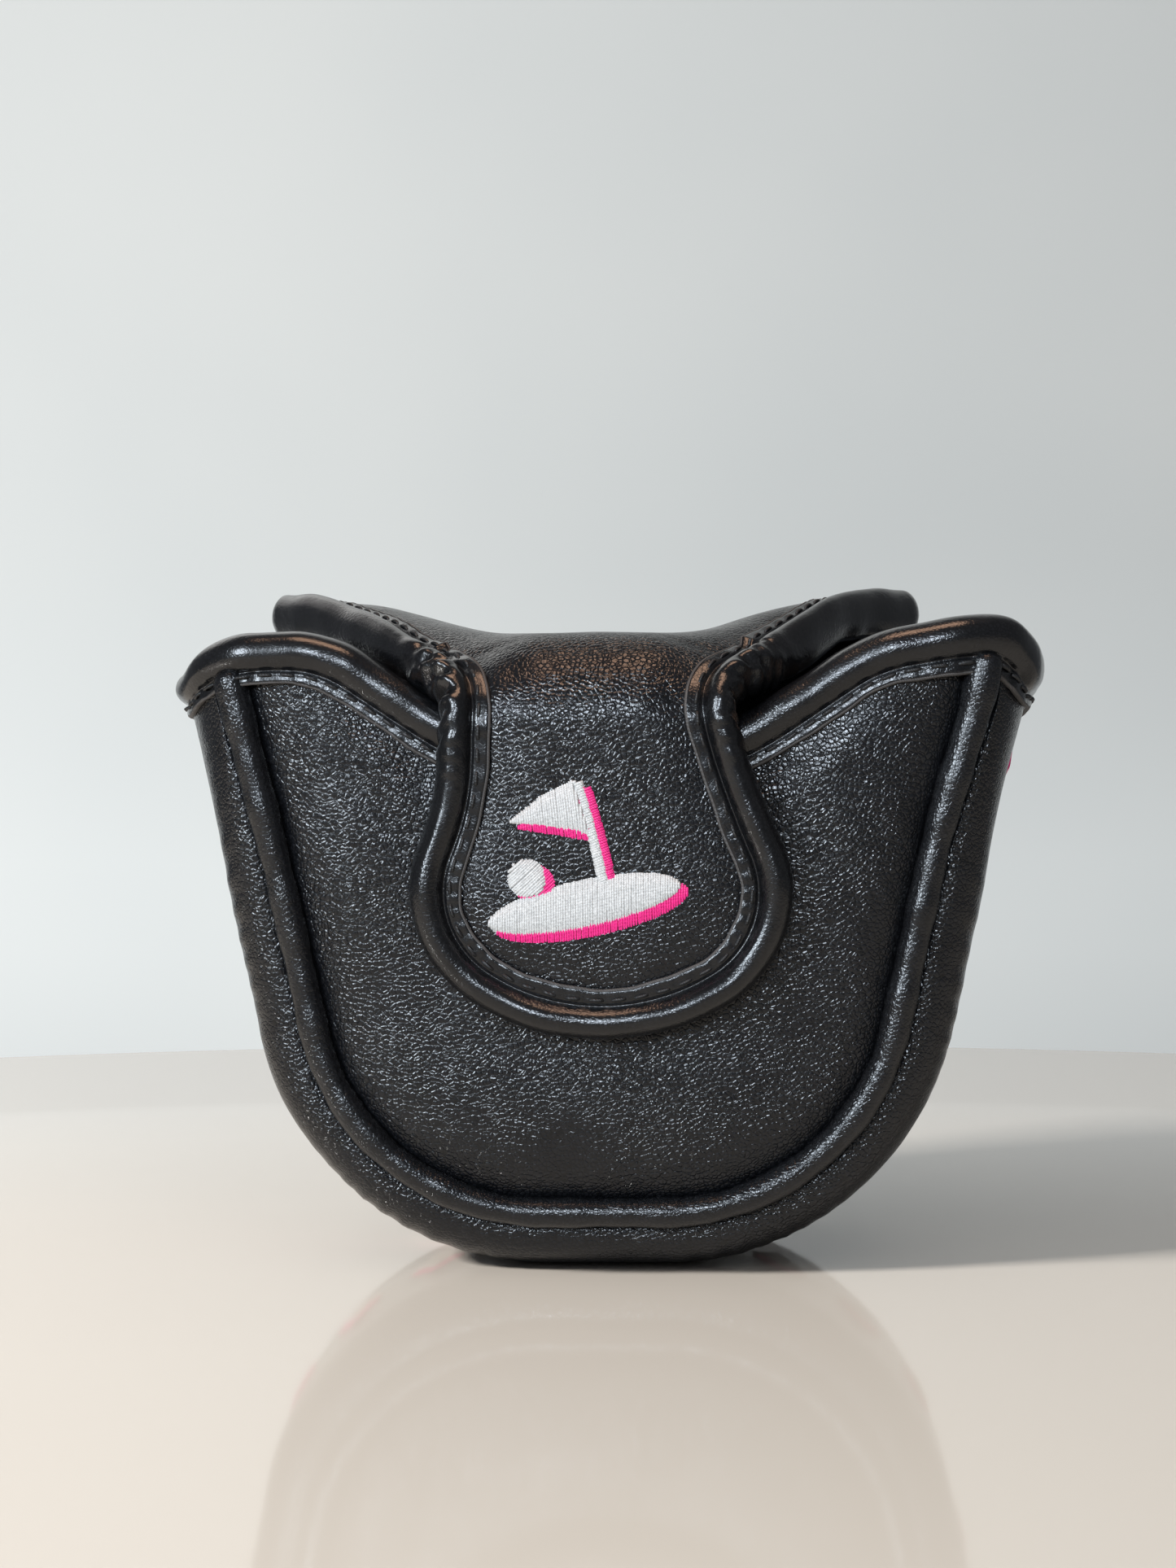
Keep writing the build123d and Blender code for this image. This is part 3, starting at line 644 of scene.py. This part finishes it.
def inside_flap(x, v):
    """True where the flap's surface exists."""
    half = len(OUTLINE) // 2
    order = np.argsort(OUTLINE[half:, 1])
    v_at, x_at = OUTLINE[half:, 1][order], OUTLINE[half:, 0][order]
    return np.abs(x) < np.interp(v, v_at, x_at, left=x_at[0], right=-1)


def crumple(p):
    """Pinched folds of the flap where the wings turn down into the neck."""
    p = np.asarray(p, float)
    out = p.copy()
    x, y, z = p[..., 0], p[..., 1], p[..., 2]
    for sx, depth in ((-1, 1.15), (1, 0.6)):
        d = np.exp(-((x - sx * 24.5) / 4.5) ** 2 - ((y + 30.5) / 7) ** 2 - ((z - 89.5) / 6.5) ** 2)
        wave = np.sin((z * 0.9 + y * 0.8 - sx * x * 0.4) * 1.7 + sx)
        out[..., 0] -= sx * depth * d * (0.9 + 0.6 * wave)
        out[..., 1] += depth * 0.5 * d * wave
        out[..., 2] -= depth * 0.4 * d * wave
    neck = bell(z - 88, 12) * smooth(-y, 14, 30)
    high = smooth(z, 89, 99)
    out[..., 0] -= 1.9 * np.maximum(neck, 0.75 * high) + 2.4 * high * smooth(x, 30, 50)
    out[..., 2] -= 0.6 * np.exp(-(x / 26) ** 2 - ((y - 2) / 16) ** 2) * smooth(z, 88, 94)
    return out


def puff(inside):
    """How far padded leather swells beside a seam, at a distance inside it."""
    return 1.45 * (1 - np.exp(-np.clip(inside, 0, None) / 5.0))


def flap_skin(name, v_from, v_to, depth, material, edge, top_side):
    """One field of the flap's leather or lining, `depth` under its outer surface."""
    xs = np.arange(-56.7, 56.71, FINE)
    vs = np.linspace(v_from, v_to, int(abs(v_to - v_from) / FINE) + 1)
    x, v = np.meshgrid(xs, vs, indexing="ij")
    p, _, _, out = flap_frame(x, v)
    on_flap = v > 0
    gap = inset(x, v)
    if top_side:
        below = puff(-seam_out(x, p[..., 2]) - 3.0)
        swell = below + (puff(gap - BAND) - below) * smooth(v, -7.0, 7.0)
        blend = smooth(v, -14, 8)
        plain = panel_height(x, p[..., 2]) - (PANEL_Y - SEAM_Y)
        height = (swell - SUNK) * blend + np.clip(plain, -4.4, 2.0) * (1 - blend)
        height = height + 0.13 * value_noise(p, 11, 12) + 0.06 * value_noise(p, 5.5, 13)
        neck = bell(p[..., 2] - 86, 9) * smooth(-p[..., 1], 20, 30)
        strain = np.sin(x * 0.8 + 2.5 * value_noise(p, 9, 14)) * np.exp(-((np.abs(x) - 14) / 6) ** 2)
        height = height + 0.16 * neck * strain
        height = height - np.where(v < -6, gathers(x, p[..., 2], 0.13), 0)
    else:
        height = -depth + 0.25 * value_noise(p, 9, 15)
    q = crumple(settle(p + out * np.asarray(height)[..., None]))
    keep = np.where(on_flap, inside_flap(x, v) & (gap > edge), seam_out(x, p[..., 2]) < 0.6)
    keep = np.where((v > 0) & (v < 3) & (np.abs(x) < 49), True, keep).reshape(-1)
    faces = grid_faces(len(xs), len(vs))
    faces = faces[keep[faces].all(axis=1)]
    return make(name, q.reshape(-1, 3), faces, material, flip=not top_side)


# ------------ bindings
def edge_frames(outline):
    """Frames along the flap's edge: point, direction off the edge and outward normal."""
    p, across, along, out = flap_frame(outline[:, 0], outline[:, 1])
    t = np.gradient(outline, axis=0)
    off = unit(np.stack([-t[:, 1], t[:, 0]], axis=1))
    centre = np.array([0.0, V_BACK + 20])
    if ((outline[len(outline) // 2] - centre) @ off[len(outline) // 2]) < 0:
        off = -off
    edge = unit(across * off[:, :1] + along * off[:, 1:])
    return p, edge, out


FLAP_SECTION = spline([
    (-7.3, -0.95), (-7.5, -0.2), (-7.1, 0.12), (-6.3, 0.1), (-5.5, 0.02), (-4.9, -0.35), (-4.4, 0.3),
    (-3.6, 1.15), (-2.5, 1.5), (-1.4, 1.2), (-0.4, 0.1), (0.15, -1.4), (0.2, -3.2), (-0.4, -4.9),
    (-1.3, -6.0), (-2.6, -6.5), (-3.8, -6.2), (-4.7, -5.9), (-6.6, -5.95), (-6.8, -5.4)], 4)


def edge_wander(run):
    """How far a hand-cut edge strays from its line."""
    return 0.11 * sin(run * 0.33) + 0.05 * sin(run * 0.9 + 1)


def sweep(points, side, up, section, change):
    """Carries a section along frames; change(run, section) may alter it on the way."""
    run = length_to(points)
    rows = []
    for i in range(len(points)):
        s = change(run[i], section, points[i])
        rows.append(points[i] + side[i] * s[:, :1] + up[i] * s[:, 1:])
    return np.array(rows)


def flap_binding():
    p, edge, out = edge_frames(OUTLINE)

    def change(run, section, at):
        neck = np.exp(-((abs(at[0]) - 23) / 5) ** 2 - ((at[1] + 25) / 9) ** 2 - ((at[2] - 90) / 10) ** 2)
        pinch = 0.5 * neck * sin(run * 2 * pi / 3.3 + 2 * sin(run * 0.4))
        wobble = 0.14 * sin(run * 0.23) + 0.05 * sin(run * 0.61 + 1)
        roll = smooth(section[:, 0], -4.7, -3.0)
        s = section.copy()
        s[:, 1] += roll * (wobble + pinch) * np.where(section[:, 1] > -3, 1, -0.4)
        s[:, 0] += roll * (0.6 * pinch + 0.5 * wobble)
        flat = smooth(section[:, 0], -5.0, -6.0) * (section[:, 1] > -3)
        s[:, 0] += flat * edge_wander(run)
        s[:, 1] += flat * 0.05 * sin(run * 2 * pi / PITCH)
        return s

    rows = sweep(p, edge, out, FLAP_SECTION, change)
    rows = rows + 0.09 * value_noise(rows, 9, 20)[..., None] * out[:, None, :]
    rows = rounded_ends(crumple(settle(rows)), 2.2)
    return sheet("flap_binding", rows, SMOOTH)


RIM_SECTION = spline([
    (0.0, -7.45), (0.7, -7.5), (0.92, -7.15), (0.85, -6.5), (0.8, -5.9), (0.55, -5.45), (1.2, -4.8),
    (1.9, -3.6), (1.95, -2.2), (1.4, -0.8), (0.2, 0.05), (-1.3, 0.35), (-3.2, 0.3), (-5.0, -0.1),
    (-6.4, -0.8), (-7.2, -2.0), (-7.3, -3.3), (-6.9, -4.4), (-6.75, -5.2), (-6.8, -7.0), (-6.4, -7.2)], 4)


RIM_TURN = spline([
    (-6.5, -26.5), (-3.2, -26.3), (-0.2, -25.3), (2.8, -23.3), (5.4, -20.3), (7.6, -16.3), (9.2, -11.0),
    (10.0, -4.0), (10.1, 4.0), (9.8, 11.5), (8.6, 17.0), (6.7, 20.6), (4.6, 22.6)], 10)


def rim_drop(y):
    """How far the mouth lies below its front corners at depth y."""
    return CORNER_DROP * smooth(y, -27.5, -13.0) + BACK_DROP * smooth(y, -13.0, 26.0)


def rim_path():
    """Top outer line of the mouth: along the front, round both corners and back across the gussets."""
    dip_end = DIP_R * sin(RISE)
    pts = [(x, -PANEL_Y, DIP_C - sqrt(DIP_R ** 2 - x * x)) for x in np.linspace(0, dip_end, 40)]
    for t in np.linspace(0, RISE_RUN, 14)[1:]:
        pts.append((dip_end + t * cos(RISE), -PANEL_Y, DIP_C - DIP_R * cos(RISE) + t * sin(RISE)))
    for a in np.linspace(pi / 2 + RISE, pi / 2, 24)[1:]:
        pts.append((SHOULDER_X + SHOULDER_R * cos(a), -PANEL_Y, SHOULDER_C + SHOULDER_R * sin(a)))
    for n, y in RIM_TURN:
        z = RIM_TOP - rim_drop(y) + 0.25
        pts.append((SIDE_X + (z - SIDE_Z) * tan(LEAN) + n / cos(LEAN) - 0.6, y, z))
    half = np.array(pts)
    return resample(np.vstack([half[::-1] * (-1, 1, 1), half[1:]]), 0.6)


def rim_frames():
    p = rim_path()
    for _ in range(6):
        p[1:-1] = (p[:-2] + 2 * p[1:-1] + p[2:]) / 4
    t = unit(np.gradient(p, axis=0))
    w = unit(np.cross(t, np.array([0, 0, 1.0])))
    up = unit(np.cross(w, t))
    tilt = LEAN * np.clip(w[:, :1] * np.sign(p[:, :1]), 0, 1)
    return p, w * np.cos(tilt) - up * np.sin(tilt), up * np.cos(tilt) + w * np.sin(tilt)


def over_piping(at):
    """How the stitched band rides up over the front piping and sinks beside it."""
    n = seam_out(at[0], at[2])
    over = bell(n - 0.3, 1.7) * (at[1] < 0)
    dent = bell(n + 3.6, 1.4) * (at[1] < 0) + bell(n - 4.2, 1.6) * (at[1] < -20)
    return 0.75 * over - 0.35 * dent


def rim_binding():
    p, w, up = rim_frames()

    def change(run, section, at):
        s = section.copy()
        wobble = 0.14 * sin(run * 0.27 + 1) + 0.08 * sin(run * 0.71)
        roll = smooth(section[:, 1], -5.2, -3.4)
        s[:, 0] += roll * wobble * np.where(section[:, 0] > -3, 1, -0.5)
        s[:, 1] += roll * 0.6 * wobble
        outer = (section[:, 0] > -2) & (section[:, 1] < -5.2)
        s[:, 0] += np.where(outer, over_piping(at), 0)
        edge = smooth(section[:, 1], -6.5, -7.3) * (section[:, 0] > -2)
        s[:, 1] += edge * edge_wander(run)
        s[:, 0] += np.where(outer, 0.04 * sin(run * 2 * pi / PITCH), 0)
        return s

    rows = sweep(p, w, up, RIM_SECTION, change)
    rows = pouch_settle(rows + 0.09 * value_noise(rows, 9, 21)[..., None] * w[:, None, :])
    rows = rounded_ends(rows, 2.2)
    return sheet("rim_binding_roll", rows, SMOOTH, flip=True)


def circle(centre, across, out, turn, radius):
    """Ring of points round the centre."""
    return centre + np.outer(np.cos(turn), across) * radius + np.outer(np.sin(turn), out) * radius


def stitch_row(name, points, side, normal, material, warp):
    """Sewn thread: each stitch is its own arched strand that dives into the leather at both ends."""
    run = length_to(points)
    count = int(run[-1] / PITCH)
    rng = np.random.default_rng(7)
    verts, faces = [], []
    turn = np.linspace(0, 2 * pi, 8, endpoint=False)
    for i in range(count):
        mid = (i + 0.5) * PITCH + rng.uniform(-0.12, 0.12)
        lean = rng.uniform(-0.12, 0.12)
        rings = []
        for t in np.linspace(-1, 1, 9):
            at = mid + t * STITCH / 2
            base, n, s = (np.array([np.interp(at, run, row[:, k]) for k in range(3)])
                          for row in (points, normal, side))
            n, s = unit(n), unit(s)
            r = THREAD_R * (1 - 0.35 * t ** 4)
            lift = THREAD_R * 0.9 - 0.55 * abs(t) ** 3.5
            centre = base + n * lift + s * lean * t
            rings.append(circle(centre, s, n, turn, r))
        start = len(verts) * 72
        verts.append(np.concatenate(rings))
        faces.append(grid_faces(9, 8, wrap=True) + start)
    verts = warp(np.concatenate(verts))
    return make(name, verts, np.concatenate(faces), material)


# ------------ embroidery
def fill_lines(polygon, angle, pitch):
    """Parallel threads that fill a closed outline, as pairs of ends."""
    c, s = cos(angle), sin(angle)
    poly = np.asarray(polygon, float)
    rot = poly @ np.array([[c, -s], [s, c]])
    lines = []
    for level in np.arange(rot[:, 1].min() + pitch / 2, rot[:, 1].max(), pitch):
        hits = []
        for i in range(len(rot)):
            a, b = rot[i], rot[(i + 1) % len(rot)]
            if (a[1] > level) != (b[1] > level):
                hits.append(a[0] + (level - a[1]) / (b[1] - a[1]) * (b[0] - a[0]))
        hits.sort()
        for left, right in zip(hits[::2], hits[1::2]):
            if right - left > 0.25:
                ends = np.array([(left - 0.1, level), (right + 0.1, level)]) @ np.array([[c, s], [-s, c]])
                lines.append(ends)
    return lines


def threads(name, lines, place, height, radius, material, warp, seed):
    """Raised satin threads on a surface; place(a, b) gives a point and its normal."""
    rng = np.random.default_rng(seed)
    verts, faces = [], []
    turn = np.linspace(0, 2 * pi, 6, endpoint=False)
    for k, (a, b) in enumerate(lines):
        a = a + rng.normal(0, 0.04, 2)
        b = b + rng.normal(0, 0.04, 2)
        along = b - a
        size = hypot(*along)
        rings = []
        for t in np.linspace(0, 1, 7):
            q = a + along * t
            base, normal = place(q[0], q[1])
            ahead, _ = place(q[0] + along[0] / size * 0.1, q[1] + along[1] / size * 0.1)
            forward = unit(ahead - base)
            cross = unit(np.cross(forward, normal))
            arch = (1 - (2 * t - 1) ** 4) * min(height, 0.25 + size * 0.12) - 0.12
            centre = base + normal * (arch + rng.normal(0, 0.012))
            rings.append(circle(centre, cross, normal, turn, radius))
        verts.append(np.concatenate(rings))
        faces.append(grid_faces(7, 6, wrap=True) + 42 * k)
    return make(name, warp(np.concatenate(verts)), np.concatenate(faces), material)


def turned(points, angle, shift):
    c, s = cos(angle), sin(angle)
    return np.asarray(points, float) @ np.array([[c, s], [-s, c]]) + shift


def ellipse(cx, cy, rx, ry, count=48):
    t = np.linspace(0, 2 * pi, count, endpoint=False)
    return np.stack([cx + rx * np.cos(t), cy + ry * np.sin(t)], axis=1)


def emblem_lines(shift, grow):
    """Golf flag, green and ball as threads, tilted as one and set off by `shift`."""
    tilt = radians(12)
    at = np.array([-2.4, 58.2]) + shift
    shapes = [
        (ellipse(0, 0, 14.5 + grow, 3.6 + grow), radians(78)),
        ([(2.7 - grow, 1.5), (4.3 + grow, 1.5), (4.2 + grow, 17.9), (2.8 - grow, 17.9)], radians(8)),
        ([(2.9, 18.2 + grow), (-2.5, 16.9 + grow), (-8.2 - grow, 14.3), (-2.5, 12.2 - grow),
          (2.9, 9.9 - grow)], radians(80)),
        (ellipse(-7.5, 5.6, 2.8 + grow, 2.8 + grow, 32), radians(30)),
    ]
    lines = []
    for shape, angle in shapes:
        lines += fill_lines(turned(shape, tilt, at), angle + tilt, 0.36)
    return lines


def on_tongue(x, z):
    v = V_BEND + BEND_Z - z
    p, _, _, out = flap_frame(np.array([x]), np.array([v]))
    gap = inset(np.array([x]), np.array([v]))[0]
    return p[0] + out[0] * (puff(gap - BAND) - SUNK), out[0]


def on_gusset(side):
    """Surface of the gusset's middle: a is depth, b the way round from the middle of the foot."""
    def place(a, b):
        if b < CORNER_RUN:
            turn = -pi / 2 + b / CORNER_R
            x, z, n = FOOT + CORNER_R * cos(turn), CORNER_Z + CORNER_R * sin(turn), (cos(turn), sin(turn))
        else:
            run = b - CORNER_RUN
            x, z, n = SIDE_X + run * sin(LEAN), SIDE_Z + run * cos(LEAN), (cos(LEAN), -sin(LEAN))
        flat = under_rim(BULGE + CROWN, a, z) - 0.02 * max(abs(a) - 8, 0) ** 2
        return np.array([side * (x + n[0] * flat), a, z + n[1] * flat]), np.array([side * n[0], 0, n[1]])
    return place


def motif_lines(shift):
    """Diamonds round the gusset in thread."""
    spots = [CORNER_R * radians(a) for a in (24, 43, 62)] + [CORNER_RUN + run for run in (11.5, 26.5, 41.5)]
    lines = []
    for b in spots:
        half = MOTIF * CORNER_R / (CORNER_R + BULGE) if b < CORNER_RUN else MOTIF
        diamond = np.array([(MOTIF, 0), (0, half), (-MOTIF, 0), (0, -half)])
        lines += fill_lines(diamond + (shift, b), radians(90), 0.4)
    return lines


# ------------ lining of the pocket
def inner_liner():
    """Plush bag inside the pouch: a U-shaped strip with rounded edges and its two faces."""
    half, corner = 19.6, 4.0
    rise, fall = np.linspace(0, pi / 2, 8)[1:], np.linspace(pi / 2, 0, 8)[:-1]
    ys = np.r_[np.full(6, -half), -half + corner * (1 - np.cos(rise)), np.linspace(-15.6, 15.6, 20)[1:-1],
               half - corner * (1 - np.cos(fall)), np.full(6, half)]
    ns = np.r_[np.linspace(-12, -2.2, 6), -2.2 + corner * np.sin(rise), np.full(18, 1.8),
               -2.2 + corner * np.sin(fall), np.linspace(-2.2, -12, 6)]
    path, nor = u_path(88)
    p = np.stack([path[:, None, 0] + nor[:, None, 0] * ns[None, :], np.broadcast_to(ys, (len(path), len(ys))),
                  path[:, None, 1] + nor[:, None, 1] * ns[None, :]], axis=-1)
    p[..., 1] += 0.3 * value_noise(p, 8, 31)
    cut = RIM_TOP - ROLL - 1.5 - rim_drop(p[..., 1])
    p[..., 2] = np.minimum(p[..., 2], cut)
    p = pouch_settle(p)
    strip = sheet("pocket_liner_band", p, PLUSH, flip=True)
    mouth = rim_path()
    mouth = mouth[(mouth[:, 0] >= 0) & (mouth[:, 1] < -26.4)]
    sheets = []
    for side, name in ((-1, "pocket_liner_front"), (1, "pocket_liner_back")):
        xs = np.arange(-58, 58.01, 1.2)
        zs = np.arange(12, 97, 1.2)
        x, z = np.meshgrid(xs, zs, indexing="ij")
        top = np.interp(np.abs(x), mouth[:, 0], mouth[:, 2]) - 4.5 if side < 0 else np.full(x.shape, 90.0)
        q = np.stack([x, np.full(x.shape, side * 19.4), np.minimum(z, top)], axis=-1)
        q[..., 1] += 0.5 * value_noise(q, 10, 32)
        inside = (seam_out(x, q[..., 2]) < -1.5).reshape(-1)
        below = (z < top).reshape(-1)
        faces = grid_faces(len(xs), len(zs))
        faces = faces[inside[faces].all(axis=1) & below[faces].any(axis=1)]
        sheets.append(make(name, q.reshape(-1, 3), faces, PLUSH, flip=side > 0))
    return [strip] + sheets


# ------------ putting it together
V_FOOT, V_TIP = -77.0, V_BEND + BEND_Z - 37.0
BACK_PIPE_TOP = 85.5


def flap_warp(p):
    return crumple(settle(p))


def enrol(piece, finish, *cad):
    """Hides the CAD nodes that a piece stands for; finish is not used."""
    if cad:
        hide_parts(*cad)


def build_pouch():
    front = front_panel()
    gusset = gusset_band()
    front_pipe = seam_tube("front_piping", -1, RIM_TOP - ROLL - 1.5, PIPE)
    back_pipe = seam_tube("back_piping", 1, BACK_PIPE_TOP, PIPE)
    rim = rim_binding()
    p, w, up = rim_frames()
    on = p + w * 0.8 - up * 6.15
    crossing = np.exp(-((seam_out(p[:, 0], p[:, 2]) - 0.3) / 1.7) ** 2) * (p[:, 1] < 0)
    on = on + w * (0.75 * crossing)[:, None]
    side = unit(np.cross(w, unit(np.gradient(p, axis=0))))
    sewing = stitch_row("rim_thread", on, side, w, BLACK, pouch_settle)

    def waver(run, section, at):
        s = section.copy()
        s[:, 1] += edge_wander(run)
        s[:, 0] += over_piping(at)
        return s

    section = np.array([(0.15, -7.55), (0.72, -7.62), (0.95, -7.36), (0.9, -7.22), (0.3, -7.22)])
    rows = pouch_settle(sweep(p, w, up, section, waver))
    cut = sheet("rim_raw_edge", rows, RAW, flip=True)
    liners = inner_liner()
    for piece, finish, *cad in (
            (front, "grained_leather", "front_panel_leather", "front_panel_foam"),
            (gusset, "grained_leather", "gusset_leather", "gusset_foam"),
            (front_pipe, "smooth_leather", "front_piping_wrap", "front_piping_cord"),
            (back_pipe, "smooth_leather", "back_piping_wrap", "back_piping_cord"),
            (rim, "smooth_leather", "rim_binding", "rim_binding_cord"),
            (cut, "smooth_leather"),
            (sewing, "black_thread", "rim_stitching"),
            (liners[0], "plush_lining", "gusset_lining"),
            (liners[1], "plush_lining", "front_panel_lining"),
            (liners[2], "plush_lining", "back_panel_lining")):
        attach(piece, "pouch")
        enrol(piece, finish, *cad)
    for name, side in (("right", 1), ("left", -1)):
        place = on_gusset(side)
        pink = threads("motifs_pink_" + name, motif_lines(-1.0), place, 0.3, 0.2, PINK, pouch_settle, 3)
        white = threads("motifs_white_" + name, motif_lines(0.7), place, 0.5, 0.21, WHITE, pouch_settle, 4)
        for piece, cad, finish in ((pink, "gusset_motifs_pink", "pink_thread"),
                                   (white, "gusset_motifs_white", "white_thread")):
            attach(piece, "pouch")
            enrol(piece, finish, cad)


def build_flap():
    rear = flap_skin("flap_leather_rear", V_FOOT, V_SPLIT, 0, GRAIN, 4.0, True)
    fore = flap_skin("flap_leather_fore", V_SPLIT, V_TIP, 0, GRAIN, 4.0, True)
    rear_lining = flap_skin("flap_lining_rear", 0.5, V_SPLIT, 6.0, PLUSH, 3.0, False)
    fore_lining = flap_skin("flap_lining_fore", V_SPLIT, V_TIP, 6.0, PLUSH, 3.0, False)
    bound = flap_binding()
    p, edge, out = edge_frames(OUTLINE)
    sewing = stitch_row("flap_thread", p - edge * 5.9, edge, out, BLACK, flap_warp)

    def waver(run, section, at):
        s = section.copy()
        s[:, 0] += edge_wander(run)
        s[:, 1] += 0.05 * sin(run * 2 * pi / PITCH)
        return s

    section = np.array([(-7.3, -1.0), (-7.6, -0.6), (-7.64, -0.02), (-7.42, 0.13), (-7.25, 0.11)])
    rows = flap_warp(sweep(p, edge, out, section, waver))
    cut = sheet("flap_raw_edge", rows, RAW)
    below, upon = emblem_lines(np.array([1.1, -0.9]), 0.1), emblem_lines(np.array([0.0, 0.0]), 0.0)
    pink = threads("emblem_shadow", below, on_tongue, 0.3, 0.22, PINK, flap_warp, 5)
    white = threads("emblem_front", upon, on_tongue, 0.7, 0.25, WHITE, flap_warp, 6)
    for piece, finish, *cad in (
            (rear, "grained_leather", "back_panel_leather", "back_panel_foam",
             "bridge_leather", "bridge_foam"),
            (fore, "grained_leather", "tongue_leather", "tongue_foam"),
            (rear_lining, "plush_lining", "bridge_lining"),
            (fore_lining, "plush_lining", "tongue_lining"),
            (bound, "smooth_leather", "bridge_binding", "bridge_binding_cord",
             "tongue_binding", "tongue_binding_cord"),
            (cut, "smooth_leather"),
            (sewing, "black_thread", "bridge_stitching", "tongue_stitching"),
            (white, "white_thread", "emblem_white"),
            (pink, "pink_thread", "emblem_pink")):
        enrol(piece, finish, *cad)
    for piece in (rear, rear_lining):
        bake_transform(piece)
    for piece in (fore, fore_lining, bound, sewing, cut):
        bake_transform(piece)
    for piece in (pink, white):
        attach(piece, "flap_tongue")


build_pouch()
build_flap()
for magnets in ("front_magnets", "flap_magnets"):
    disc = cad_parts[magnets]
    disc.data.materials.clear()
    disc.data.materials.append(STEEL)


# ------------ table, backdrop, lights and camera
def stage_material(name, tint, dark, rough, size, gloss):
    mat, tree, shader, where = new_material(name)
    cloud = node(tree, "ShaderNodeTexNoise", Scale=size, Detail=3.0, Roughness=0.45)
    feed(tree, where, cloud)
    # broad lighter and darker patches from cloud noise: on the backdrop paper they are painted light standing
    # in for uneven lighting; on the table they are a faint tone change
    colour(tree, shader, dark, tint, ramp(tree, cloud.outputs["Fac"], 0.3, 0.7))
    dial(shader, Roughness=rough, Specular_IOR_Level=gloss)
    return mat


TABLE_Y, WALL_Y = -391, 760.0


def disc_table():
    """Round table top with a rolled edge, its middle at TABLE_Y."""
    turn = np.linspace(0, 2 * pi, 160, endpoint=False)
    rings = []
    for r, z in ((0, 0), (200, 0), (400, 0), (596, 0), (599, -0.8), (600, -3.0), (600, -18.0), (590, -25.0)):
        x, y = r * np.cos(turn), TABLE_Y + r * np.sin(turn)
        rings.append(np.stack([x, y, np.full(160, z - 0.05)], axis=1))
    cream = stage_material("stage_cream", (0.72, 0.66, 0.59), (0.69, 0.625, 0.56), 0.07, 3.0, 0.5)
    return sheet("stage_table", np.array(rings), cream, wrap=True)


def backdrop():
    """Flat paper behind the table, its colour mottled lighter and darker as painted light."""
    xs, zs = np.linspace(-560, 560, 40), np.linspace(-900, 1100, 40)
    x, z = np.meshgrid(xs, zs, indexing="ij")
    p = np.stack([x, np.full(x.shape, WALL_Y), z], axis=-1)
    paper = stage_material("stage_paper", (0.74, 0.76, 0.76), (0.66, 0.69, 0.70), 0.9, 2.6, 0.2)
    return sheet("stage_backdrop", p, paper)


disc_table()
backdrop()


def area_light(name, at, size, power, tint, target):
    lamp = bpy.data.lights.new(name, "AREA")
    lamp.shape = "RECTANGLE"
    lamp.size, lamp.size_y = size
    lamp.energy = power
    lamp.color = tint
    obj = bpy.data.objects.new(name, lamp)
    bpy.context.collection.objects.link(obj)
    obj.location = at
    obj.rotation_euler = (Vector(target) - Vector(at)).to_track_quat("-Z", "Y").to_euler()
    return obj


STAGE = [bpy.data.objects["stage_table"], bpy.data.objects["stage_backdrop"]]


def light_reaches(lamp, pieces, state):
    """A lamp reaches only these pieces (INCLUDE) or all but these (EXCLUDE)."""
    flagged = bpy.data.collections.new(lamp.name + "_flag")
    for piece in pieces:
        flagged.objects.link(piece)
    lamp.light_linking.receiver_collection = flagged
    for member in flagged.collection_objects:
        member.light_linking.link_state = state


BODY, WALL = (0, 0, 0.05), (0, 0.76, 0.05)
TABLE, PAPER = STAGE[:1], STAGE[1:]
# name, place, size, watts, tint, aimed at, and the pieces that the lamp leaves out or is kept for
for name, at, size, power, tint, target, pieces, state in (
        ("light_window", (-0.70, -0.98, 0.42), (0.4, 0.36), 15.0, (0.80, 0.90, 1.0), BODY, STAGE, "EXCLUDE"),
        ("light_front", (-0.05, -1.15, 0.42), (0.3, 0.2), 8.0, (0.78, 0.88, 1.0), BODY, STAGE, "EXCLUDE"),
        ("light_warm", (0.02, -0.16, 0.95), (0.45, 0.45), 4.5, (1.0, 0.62, 0.42), BODY, STAGE, "EXCLUDE"),
        ("light_back", (-0.35, 0.65, 0.55), (0.8, 0.4), 0.9, (1.0, 0.97, 0.94), BODY, STAGE, "EXCLUDE"),
        ("light_wall", (-0.45, -0.55, 0.12), (1.2, 0.8), 23.5, (0.99, 0.99, 0.97), WALL, PAPER, "INCLUDE"),
        ("light_sun", (-0.95, -0.40, 0.62), (0.16, 0.16), 21.0, (1.0, 0.98, 0.95), BODY, TABLE, "INCLUDE"),
        ("light_fill", (-0.1, -0.50, 1.10), (1.2, 1.0), 3.0, (1.0, 0.97, 0.93), BODY, TABLE, "INCLUDE"),
):
    light_reaches(area_light(name, at, size, power, tint, target), pieces, state)

world = bpy.data.worlds.new("studio")
bpy.context.scene.world = world
world.use_nodes = True
dial(world.node_tree.nodes["Background"], Color=(0.84, 0.89, 0.95, 1), Strength=0.16)

yaw, pitch, roll = 0.0339, -0.0504, -0.006
forward = Vector((-sin(yaw) * cos(pitch), cos(yaw) * cos(pitch), sin(pitch)))
level = Vector((cos(yaw), sin(yaw), 0))
above = level.cross(forward)
right = level * cos(roll) + above * sin(roll)
upward = above * cos(roll) - level * sin(roll)
camera = bpy.data.objects.new("camera", bpy.data.cameras.new("camera"))
bpy.context.collection.objects.link(camera)
camera.data.lens = 57.1
camera.data.sensor_width = 36.0
camera.data.clip_start = 0.01
eye = Vector((0.01065, -0.400, 0.0944))
camera.matrix_world = Matrix.Translation(eye) @ Matrix((right, upward, -forward)).transposed().to_4x4()
bpy.context.scene.camera = camera
bpy.context.scene.view_settings.view_transform = "Standard"
